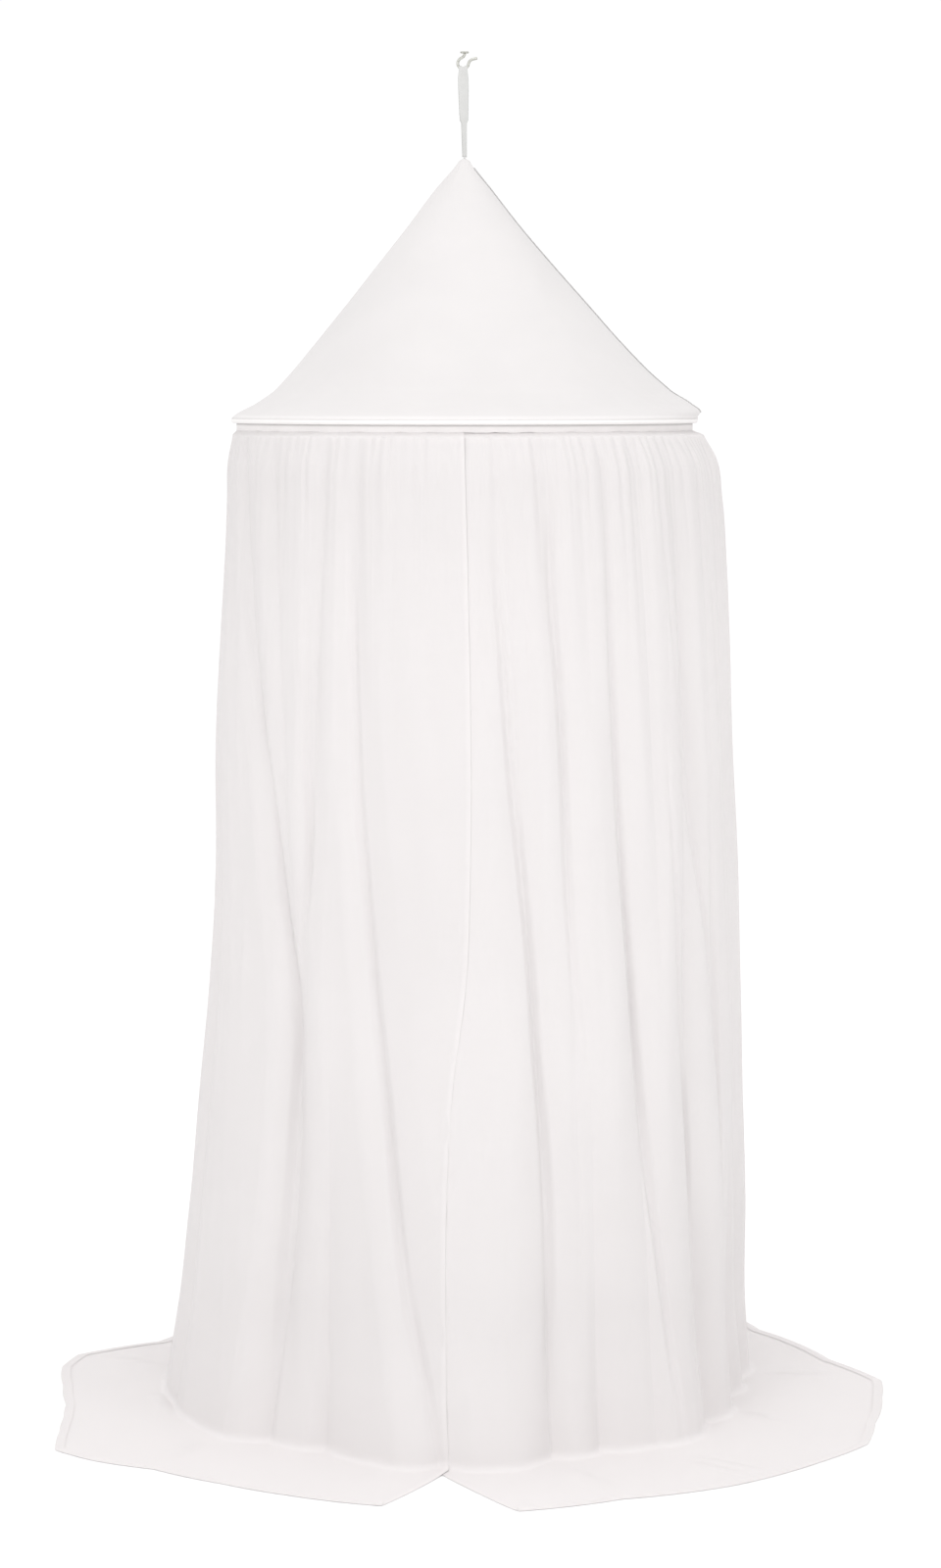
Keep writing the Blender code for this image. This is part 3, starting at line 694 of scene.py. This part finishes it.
# Shares of the cloth at which the columns stand, and how far each is tucked under
def skirtColumns():
    spots = np.linspace(0, 1, skirt["columnSpots"])
    first, last = skirt["frontShares"]
    back = easeIn(spots, first, skirt["stepBlend"]) * easeIn(last - spots, 0, skirt["stepBlend"])
    turn = abs(skirt["clothTurn"][1] - skirt["clothTurn"][0])
    step = between(skirt["frontStep"], skirt["backStep"], back)
    reach = np.concatenate([[0], np.cumsum(np.diff(spots) * turn / step[1:])])
    middle = np.interp(np.linspace(0, reach[-1], int(reach[-1])), reach, spots)[1:-1]
    tight = skirt["edgeTight"]
    edge = np.array([skirt["edgeShare"], tight, 0, tight, 2 * tight])
    tucks = skirt["edgeTucks"]
    shares = np.concatenate([edge, middle, 1 - edge[::-1]])
    return shares, np.concatenate([tucks, 0 * middle, tucks[::-1]])


def skirtAngle(share, upperEnd, underEnd):
    first, last = skirt["clothTurn"]
    pull = skirt["endPull"]
    angle = between(first, last, share)
    angle = angle + (upperEnd - first) * np.exp(-share / pull)
    return angle + (underEnd - 360 - last) * np.exp((share - 1) / pull)


def foldDepth(angle, z):
    heights = skirt["foldHeights"][::-1]
    down = (heights[-1] - z) / (heights[-1] - heights[0])
    total = 0 * angle
    for angles, depths, (topWidth, footWidth) in skirt["folds"]:
        depth = np.interp(z, heights, depths[::-1]) * mm
        away = awayFrom(angle, smoothTable(z, heights, angles[::-1]), between(topWidth, footWidth, down))
        total += depth * trough(away, skirt["foldSharpness"])
    return total


# Thin troughs, each along its own line down the wall
def creaseDepth(angle, z):
    total = 0 * angle
    for rows in skirt["creases"]:
        depth = np.interp(z, column(rows, 0)[::-1], column(rows, 2)[::-1]) * mm
        away = awayFrom(angle, smoothByHeight(z, rows, 1), skirt["creaseWidth"])
        total += depth * trough(away ** 2, skirt["creaseSharpness"])
    return total


# Rounded lobes with tight valleys between, uneven in spacing and size
def gatherDepth(share, below):
    total = 0 * share
    turn = share * 2 * pi
    drift, drifts = skirt["gatherDrift"]
    spread, (everyA, startA), (everyB, startB) = skirt["gatherSizes"]
    for count, depth, start, full, fade, uneven in skirt["gathers"]:
        wander = drift * np.sin(turn * drifts + count)
        for amount, every, phase in skirt["gatherWander"]:
            wander = wander + amount * np.sin(turn * count / every + phase)
        swing = np.sin(turn * count / everyA + startA) * np.sin(turn * count / everyB + startB)
        lobe = np.abs(np.sin(pi * (share * count + wander * uneven / 2)))
        reach = easeIn(below, start, full - start) * np.exp(-np.clip(below - full, 0, None) / fade)
        total += depth * (1 - spread + spread * swing) * reach * (1 - lobe)
    return total


# Under the lap the gathers follow the layer on top, so the two lie together
def lappedGathers(share, angle, below):
    first, last = skirt["clothTurn"]
    over = np.clip((angle + 360 - first) / (last - first), 0, 1)
    under = easeIn(skirt["lapBlend"] - 360 - angle, 0, skirt["lapBlend"])
    return between(gatherDepth(share, below), gatherDepth(over, below), under)


def edgeCrumple(share, z, below):
    depth, longer, shorter, swing, rate, edge = skirt["crumple"]
    wave = np.sin(z * 2 * pi / longer + swing * np.sin(z * rate)) * np.sin(z * 2 * pi / shorter + 1)
    return wave * depth * bell((share - edge) / edge) * easeIn(below, *skirt["crumpleRise"])


def wallRadius(share, angle, z):
    below = tapeFootZ - z
    toRight = (1 + ripple(angle, 1)) / 2
    left, right = [smoothByHeight(z, skirt["outline"], k) for k in (1, 2)]
    crest = between(left, right, toRight)
    radius = between(tapeRadius - skirt["behindTape"], crest, easeIn(below, *skirt["puffRise"]))
    radius -= foldDepth(angle, z) * easeIn(below, *skirt["foldRise"])
    radius -= creaseDepth(angle, z)
    calm = 1 - skirt["gatherLean"] + skirt["gatherLean"] * ripple(angle, 1)
    radius -= lappedGathers(share, angle, below) * calm * easeIn(below, *skirt["gatherRise"])
    down = np.clip(below / (tapeFootZ - skirt["footZ"]), 0, 1)
    swing, swings = skirt["waveWander"]
    for count, top, foot, drift in skirt["waves"]:
        shift = drift * 2 * pi * z + swing * ripple(angle, swings, count)
        radius += between(top, foot, down) * easeIn(below, *skirt["waveRise"]) * ripple(angle, count, shift)
    start, whole = skirt["lapAngles"]
    lap = easeIn(start - 360 - angle, 0, start - whole)
    depth = between(*skirt["lapDepths"], easeIn(below, 0, skirt["lapFade"]))
    gap = between(*skirt["settleGap"], easeIn(below, *skirt["gapRise"]))
    settled = bell(share / skirt["settleReach"]) * easeIn(below, *skirt["settleRise"])
    return radius - lap * depth - settled * (depth - gap) + edgeCrumple(share, z, below)


# Height of the creases that lie on the floor
def floorRelief(places):
    total = np.zeros(len(places))
    low = skirt["floorCreaseEnds"]
    for angleA, radiusA, angleB, radiusB, height, width in skirt["floorCreases"]:
        start, end = placeAround(np.array([angleA, angleB]), np.array([radiusA, radiusB]), 0)[:, :2]
        line = end - start
        share = np.clip((places[:, :2] - start) @ line / (line @ line), 0, 1)
        away = np.linalg.norm(places[:, :2] - start - share[:, None] * line, axis=1)
        total += height * mm * bell(away / (width * mm)) * np.sin(pi * between(low, 1 - low, share))
    return total


def skirtShape(across, down):
    rows = skirtRows()
    rowAt = down * (len(rows) - 1)
    z, bend, out, back, lift = [np.interp(rowAt, range(len(rows)), rows[:, k]) for k in range(5)]
    shares, tucks = skirtColumns()
    columnAt = across * (len(shares) - 1)
    share = np.interp(columnAt, range(len(shares)), shares)
    tuck = np.interp(columnAt, range(len(shares)), tucks) * skirt["edgeTuck"]

    upper, under = [smoothByHeight(z, skirt["ends"], k) for k in (1, 2)]
    outs, lyingUpper, lyingUnder = zip(*skirt["floorEnds"])
    footAngle = skirtAngle(share, upper, under)
    lyingAngle = skirtAngle(share, smoothTable(out, outs, lyingUpper), smoothTable(out, outs, lyingUnder))
    angle = between(footAngle, lyingAngle, bend / 90)

    turn = np.radians(bend)
    reach = skirt["bendRadius"]
    radius = wallRadius(share, footAngle, z) - tuck * np.cos(turn)
    hemRadius = np.interp(angle, column(skirt["hem"], 0), column(skirt["hem"], 1))
    lying = between(radius + reach * (1 - np.cos(turn)), hemRadius, out) - back
    bent = floorZ + reach * (1 - np.sin(turn)) + skirt["lyingGap"]
    places = placeAround(angle, lying, np.where(bend > 0, bent, np.maximum(z, floorZ + reach)) + lift)
    places[:, 2] += floorRelief(places) * np.sin(turn) * np.clip(1 - out, 0, 1) ** 0.5
    crossed = bell(share / skirt["settleReach"]) * easeIn(1 - out / skirt["lapLiftTo"])
    places[:, 2] += (tuck + skirt["lapLift"] * crossed) * np.sin(turn)
    cloth = np.stack([share * skirt["flat"][0], down * skirt["flat"][1]], axis=-1)
    return places, cloth


def makeNetSkirt():
    grid = (len(skirtColumns()[0]) - 1, len(skirtRows()) - 1)
    piece = makeSheet("netSkirt", grid, skirtShape, netMaterial, "net", replaced=["net_skirt"],
                      flipped=True)


# Roof cone, cut as one sector and closed by a felled seam down the right side

roof = {
    "grid": (264, 84),  # columns and rows
    "rowSpread": 0.9,  # below 1 the rows are closer towards the rim
    "seamAngle": 88, "seamSpread": 34,  # degrees
    "thickness": 0.8 * mm,
    "sectorRatio": 0.67,  # the flat sector's angle over the cone's
    "outward": (0.83, 0.55),  # the cone's direction outwards: away from the middle, up
    "profile": [
        # z, radius between seams, radius at the seam
        (-0.184, 0, 0), (-0.185, 0.005, 0.005), (-0.199, 0.016, 0.014), (-0.24, 0.052, 0.047),
        (-0.302, 0.099, 0.096), (-0.371, 0.154, 0.156), (-0.439, 0.208, 0.217), (-0.508, 0.264, 0.278),
        (-0.56, 0.307, 0.328), (-0.595, 0.34, 0.368), (-0.617, 0.373, 0.403), (-0.631, 0.401, 0.418),
        (-0.6392, 0.4122, 0.413), (-0.6416, 0.4135, 0.4138),
    ],
    "creases": [
        # angle at the rim, angle at its upper end, starts at share of the slope, depth in mm, half width
        (61, 55, 0.86, 2.2, 2.4), (69, 63, 0.82, 3, 2.3), (77, 72, 0.84, 3.4, 2.2),
        (98, 101, 0.8, 2.2, 3.5), (107, 112, 0.84, 1.5, 3.5), (-20, -17, 0.88, 0.9, 4.5),
        (14, 12, 0.9, 0.8, 4), (-62, -58, 0.86, 1.2, 4), (-96, -99, 0.86, 1.2, 4.5),
        (150, 146, 0.84, 1.4, 4.5), (-150, -154, 0.86, 1.3, 4.5),
    ],
    "creaseSharpness": 1.5,
    "creaseEnd": 1.15,  # above 1 a crease dies out before the rim
    "pucker": (13, 0.9 * mm, 0.12, 0.04),  # number round, depth, shares of the slope to fade and rise
    "sag": (5, 2.2 * mm, 1.0),  # number round, depth, start
}

roofSteps = lengthAlong(np.array(roof["profile"])[:, :2])
roofLength = roofSteps[-1]
roofSlopes = roofSteps / roofLength


def roofPlace(angle, slope):
    z = np.interp(slope, roofSlopes, column(roof["profile"], 0))
    plain, seam = [smoothTable(slope, roofSlopes, column(roof["profile"], k)) for k in (1, 2)]
    radius = between(plain, seam, bell(awayFrom(angle, roof["seamAngle"], roof["seamSpread"])))
    for rimAngle, topAngle, start, depth, width in roof["creases"]:
        along = np.clip((slope - start) / (1 - start), 0, 1)
        away = awayFrom(angle, between(topAngle, rimAngle, along), width)
        swell = np.sin(pi * np.clip(along * roof["creaseEnd"], 0, 1))
        radius -= depth * mm * trough(away, roof["creaseSharpness"]) * swell
    count, depth, fade, rise = roof["pucker"]
    radius -= depth * np.abs(ripple(angle, count / 2)) * np.exp(-slope / fade) * easeIn(slope, 0, rise)
    count, depth, start = roof["sag"]
    radius -= depth * (0.5 + 0.5 * ripple(angle, count, start)) * np.sin(pi * slope) ** 2
    return placeAround(angle, np.clip(radius, 0, None), z)


def roofShape(across, down):
    slope = down ** roof["rowSpread"]
    swing = np.radians(across * 360) * roof["sectorRatio"]
    cloth = np.stack([slope * roofLength * np.sin(swing), slope * roofLength * np.cos(swing)], axis=-1)
    return roofPlace(roof["seamAngle"] + across * 360, slope), cloth


def makeRoof():
    piece = makeSheet("roofCone", roof["grid"], roofShape, cloths["roofCloth"], "roof_fabric",
                      roof["thickness"], replaced=["roof_cloth"], closed=True)


seamBand = {
    "grid": (8, 150), "angle": 86, "width": 13 * mm, "thickness": 1.4 * mm,
    "slopes": (0.045, 0.975),  # from the point to the rim, as shares of the roof's slope
    "narrowest": 6 * mm,  # radius at which the band stops turning with the cone
    "rise": 1.5 * mm, "ridge": 0.125 * mm,
    "wobble": (0.15 * mm, 43, 17),  # depth, and two numbers of waves down the band
}


def seamShape(across, down):
    slope = between(*seamBand["slopes"], down)
    centre = roofPlace(seamBand["angle"] + 0 * slope, slope)
    radius = np.hypot(centre[:, 0], centre[:, 1])
    side = (across - 0.5) * seamBand["width"]
    angle = seamBand["angle"] + np.degrees(side / np.maximum(radius, seamBand["narrowest"]))
    wobble, fast, slow = seamBand["wobble"]
    rise = seamBand["rise"] - seamBand["ridge"] * np.cos(across * 2 * pi)
    rise = rise + wobble * np.sin(down * 2 * pi * fast) * np.sin(down * 2 * pi * slow)
    places = roofPlace(angle, slope) + placeAround(angle, *roof["outward"]) * rise[:, None]
    return places, np.stack([across * seamBand["width"], down * roofLength], axis=-1)


def makeSeamBand():
    piece = makeSheet("roofSeam", seamBand["grid"], seamShape, cloths["seamClothAndShade"], "roof_fabric",
                      seamBand["thickness"])


# Casing folded round the hoop, its two edges facing the inside

casing = {
    "grid": (540, 22), "thickness": 0.9 * mm, "slit": 50,  # degrees between its two edges
    "pucker": 0.22 * mm, "puckers": 173, "puckerWander": (2, 11),
}


def casingShape(across, down):
    angle = across * 360
    sweep = 360 - casing["slit"]
    turn = np.radians(180 - casing["slit"] / 2 - sweep * down)
    swing, swings = casing["puckerWander"]
    pull = 0.5 + 0.5 * ripple(angle, casing["puckers"], swing * ripple(angle, swings))
    radius = casingRadius - casing["thickness"] / 2 - casing["pucker"] * pull * np.cos(turn / 2) ** 2
    places = placeAround(angle, hoopRadius + radius * np.cos(turn), rimZ + radius * np.sin(turn))
    cloth = np.stack([across * 2 * pi * hoopRadius, down * radians(sweep) * casingRadius], axis=-1)
    return places, cloth


def makeCasing():
    piece = makeSheet("rimCasing", casing["grid"], casingShape, cloths["casingCloth"],
                      "casing_fabric", casing["thickness"], replaced=["rim_casing"], closed=True)


hoop = {"radius": 3.4 * mm, "sides": 14, "steps": 240}


def makeHoop():
    bm = bmesh.new()
    place = Matrix.Translation((hoopRadius, 0, rimZ)) @ Matrix.Rotation(pi / 2, 4, "X")
    bmesh.ops.create_circle(bm, segments=hoop["sides"], radius=hoop["radius"], matrix=place)
    bmesh.ops.spin(bm, geom=bm.verts[:] + bm.edges[:], cent=(0, 0, 0), axis=(0, 0, 1), angle=2 * pi,
                   steps=hoop["steps"], use_merge=True)
    bmesh.ops.recalc_face_normals(bm, faces=bm.faces)
    finishPiece("hoopRod", meshFrom("hoopRod", bm), rodMaterial, "hoop_rod", replaced=["hoop"])


# Heading tape, sewn to the casing; the net is gathered onto its foot

heading = {
    "grid": (720, 8), "width": 19 * mm, "thickness": 0.6 * mm,
    "pucker": 0.3 * mm, "dip": 0.5 * mm,  # in depth, and in height at the foot
    "puckers": [(0.6, 131), (0.4, 61)],  # share, number round
    "puckerWander": (1.6, 17), "puckerStart": 1.1,
    "scallop": 1.4 * mm, "scallops": 37, "scallopWander": (1.3, 5),
}


def headingShape(across, down):
    angle = across * 360
    (fineShare, fine), (broadShare, broad) = heading["puckers"]
    swing, swings = heading["puckerWander"]
    pull = fineShare * ripple(angle, fine, swing * ripple(angle, swings))
    pull = pull + broadShare * ripple(angle, broad, heading["puckerStart"])
    radius = tapeRadius - heading["thickness"] / 2 - heading["pucker"] * (0.5 + 0.5 * pull) * down ** 2
    swing, swings = heading["scallopWander"]
    hang = np.abs(ripple(angle, heading["scallops"] / 2, swing * ripple(angle, swings)))
    z = between(tapeHigh.z, tapeFootZ, down)
    z = z - (heading["dip"] * pull + heading["scallop"] * (hang - 0.5)) * down ** 3
    cloth = np.stack([across * 2 * pi * tapeRadius, down * heading["width"]], axis=-1)
    return placeAround(angle, radius, z), cloth


def makeHeadingTape():
    piece = makeSheet("headingTape", heading["grid"], headingShape, cloths["headingCotton"],
                      "heading_tape", heading["thickness"], replaced=["heading_tape"], closed=True)


# Ceiling hook: a round flange and one bent wire

hook = {
    "flangeRadius": 8 * mm, "flangeTaper": 0.92, "flangeSides": 64, "flangeThickness": 3 * mm,
    "flangeEdge": 0.6 * mm, "edgeSteps": 3, "edgeAngle": 45, "sharpAngle": 50,
    "wire": 2.5 * mm, "wireSides": 20, "wireSteps": 6,
    "tip": (1.2 * mm, 0.45),  # the length over which the wire's end is rounded, and how blunt it is
    "bowlCentre": (-2.5 * mm, -20.5 * mm), "bowlRadius": 9.5 * mm, "bowlArc": (150, 355), "bowlPoints": 9,
    "neck": [(0, -2.0), (0, -5.5), (-3.0, -9.5), (-7.8, -12.2)],
    "lip": [(8.5, -17.5), (12.5, -14.0), (18.0, -12.2), (22.5, -11.6)],
}


def smoothPath(points, steps):
    ends = [points[0] * 2 - points[1]] + points + [points[-1] * 2 - points[-2]]
    route = []
    for a, b, c, d in zip(ends, ends[1:], ends[2:], ends[3:]):
        for i in range(steps):
            t = i / steps
            route.append(0.5 * (2 * b + (c - a) * t + (2 * a - 5 * b + 4 * c - d) * t ** 2
                                + (3 * b - a - 3 * c + d) * t ** 3))
    return route + [points[-1]]


def hookRoute():
    centreX, centreZ = hook["bowlCentre"]
    points = [Vector((x * mm, 0, z * mm)) for x, z in hook["neck"]]
    reach = hook["bowlRadius"]
    for turn in np.radians(np.linspace(*hook["bowlArc"], hook["bowlPoints"])):
        points.append(Vector((centreX + reach * cos(turn), 0, centreZ + reach * sin(turn))))
    points += [Vector((x * mm, 0, z * mm)) for x, z in hook["lip"]]
    return smoothPath(points, hook["wireSteps"])


def makeHook():
    route = hookRoute()
    tipLength, tipBlunt = hook["tip"]
    bm = bmesh.new()
    rings = []
    for i, point in enumerate(route):
        ahead = route[min(i + 1, len(route) - 1)] - route[max(i - 1, 0)]
        fromEnd = (route[-1] - point).length
        taper = min(1.0, (fromEnd / tipLength + tipBlunt) ** 0.5)
        turned = ahead.to_track_quat("Z", "Y").to_matrix().to_4x4()
        made = bmesh.ops.create_circle(bm, segments=hook["wireSides"], radius=hook["wire"] * taper,
                                       matrix=Matrix.Translation(point) @ turned)
        rings.append(made["verts"])
    for lower, upper in zip(rings, rings[1:]):
        near = [e for v in lower + upper for e in v.link_edges if e.other_vert(v) in lower + upper]
        bmesh.ops.bridge_loops(bm, edges=list(set(near)))
    for ring in (rings[0], rings[-1]):
        bmesh.ops.contextual_create(bm, geom=ring)
    flange = bmesh.ops.create_cone(bm, cap_ends=True, segments=hook["flangeSides"],
                                   radius1=hook["flangeRadius"] * hook["flangeTaper"],
                                   radius2=hook["flangeRadius"], depth=hook["flangeThickness"],
                                   matrix=Matrix.Translation((0, 0, -hook["flangeThickness"] / 2)))
    rim = [e for e in bm.edges if e.verts[0] in flange["verts"] and e.verts[1] in flange["verts"]
           and e.calc_face_angle(0) > radians(hook["edgeAngle"])]
    bmesh.ops.bevel(bm, geom=rim, offset=hook["flangeEdge"], segments=hook["edgeSteps"], affect="EDGES",
                    profile=0.5, material=-1)
    bmesh.ops.recalc_face_normals(bm, faces=bm.faces)
    mesh = meshFrom("ceilingHook", bm)
    finishPiece("ceilingHook", mesh, metalMaterial, "hook_steel", replaced=["ceiling_hook"])
    mesh.set_sharp_from_angle(angle=radians(hook["sharpAngle"]))


# Hanging strap: webbing folded over the hook, its two layers running down to the roof's point

strap = {
    "width": 18.5 * mm, "columns": 12, "thickness": 1.1 * mm, "stepsBetween": 4,
    "saddleArc": 104, "saddleSteps": 18, "slack": 1.1 * mm,  # the fold over the wire, its height over it
    "rows": [
        # in mm: height, width, (degrees turned), distance of a layer from the middle, rise of the edges
        (-33, 15, 0, 3.6, 3.4), (-37, 16, 0, 2.9, 2.2), (-42, 17.5, 2, 1.6, 1), (-48, 18.5, 6, 0.8, 0.3),
        (-66, 18.5, 15, 0.8, 0), (-86.5, 18, 24, 0.8, 0), (-107, 17.2, 29, 0.8, 0),
        (-118.5, 16.2, 32, 0.8, 0), (-124.5, 10.8, 36, 0.8, 0), (-142, 10.4, 38, 0.8, 0),
        (-158, 10, 42, 0.8, 0), (-172, 9.6, 44, 0.8, 0), (-182.95, 9, 45, 0.8, 0),
    ],
}


# Places across the strap, row after row: up one layer, over the hook and down the other
def strapSections():
    table = np.array(strap["rows"]) * (mm, mm, 1, mm, mm)
    count = len(table)
    spots = np.linspace(0, count - 1, (count - 1) * strap["stepsBetween"] + 1)
    z, width, turn, away, rise = [np.interp(spots, range(count), table[:, k])[:, None] for k in range(5)]
    centreX, centreZ = hook["bowlCentre"]
    shares = np.linspace(-1, 1, strap["columns"] + 1)
    side = width / 2 * shares
    turn = np.radians(turn)
    middle = centreX * (z - z[-1]) / (z[0] - z[-1])
    back, front = [np.stack([middle + side * np.cos(turn) - apart * np.sin(turn),
                             side * np.sin(turn) + apart * np.cos(turn),
                             z + rise * shares ** 2], axis=-1) for apart in (-away, away)]
    reach = hook["wire"] + strap["slack"]
    lean = np.radians(np.linspace(-90, 90, strap["saddleSteps"] + 1))[:, None]
    away = hook["bowlRadius"] - reach * np.cos(lean)
    turn = np.radians(270 + shares * strap["saddleArc"] / 2)
    saddle = np.stack([centreX + away * np.cos(turn), reach * np.sin(lean) + 0 * turn,
                       centreZ + away * np.sin(turn)], axis=-1)
    return np.concatenate([back[::-1], saddle, front])


def makeStrap():
    sections = strapSections()
    count = len(sections)
    reach = lengthAlong(sections[:, strap["columns"] // 2])

    def strapShape(across, down):
        row = np.rint(down * (count - 1)).astype(int)
        place = np.rint(across * strap["columns"]).astype(int)
        return sections[row, place], np.stack([across * strap["width"], reach[row]], axis=-1)

    piece = makeSheet("hangingStrap", (strap["columns"], count - 1), strapShape,
                      cloths["strapWebbing"], "webbing", strap["thickness"], replaced=["hanging_loop"])


# Sewing that can be seen up close

sewing = {
    "roof": {"pitch": 3.4 * mm, "length": 2.6 * mm, "width": 0.5 * mm, "rise": 0.05 * mm},
    "hem": {"pitch": 4.0 * mm, "length": 3.0 * mm, "width": 0.5 * mm, "rise": 0.1 * mm},
    "rimLean": 62, "rimSpots": 721,  # degrees above the hoop's middle
    "tapeOut": 0.05 * mm, "tapeUp": 3.2 * mm,
    "seamLines": (0.2, 0.8), "seamSpan": (0.03, 0.98), "seamSpots": 200,  # shares across and down the band
    "hemSpan": (0.004, 0.996), "hemSpots": 1600, "hemIn": 0.12,  # share of the hem, from its sewn edge
}


def makeSewing():
    bm = bmesh.new()
    turns = np.linspace(0, 360, sewing["rimSpots"])
    lean = radians(sewing["rimLean"])
    ring = placeAround(turns, hoopRadius + casingRadius * cos(lean), rimZ + casingRadius * sin(lean))
    sewLine(bm, ring, placeAround(turns, cos(lean), sin(lean)), sewing["roof"])
    foot = placeAround(turns, tapeRadius + sewing["tapeOut"], tapeFootZ + sewing["tapeUp"])
    sewLine(bm, foot, placeAround(turns, 1, 0), sewing["roof"])
    spots = np.linspace(*sewing["seamSpan"], sewing["seamSpots"])
    outward = placeAround(seamBand["angle"] + 0 * spots, *roof["outward"])
    for across in sewing["seamLines"]:
        line = seamShape(across + 0 * spots, spots)[0]
        sewLine(bm, line + outward * seamBand["thickness"] / 2, outward, sewing["roof"])
    finishPiece("rimSewing", meshFrom("rimSewing", bm), cloths["casingCloth"], "casing_fabric")

    bm = bmesh.new()
    last = len(skirtRows()) - 1
    spots = np.linspace(*sewing["hemSpan"], sewing["hemSpots"])
    sewn, edge = [skirtShape(spots, row / last + 0 * spots)[0] for row in (last, last - 1)]
    sewLine(bm, between(sewn, edge, sewing["hemIn"]), placeAround(spots, 0, 1), sewing["hem"])
    finishPiece("hemSewing", meshFrom("hemSewing", bm), cloths["headingCotton"], "net")


makeHook()
makeStrap()
makeRoof()
makeSeamBand()
makeHoop()
makeCasing()
makeHeadingTape()
makeNetSkirt()
makeSewing()
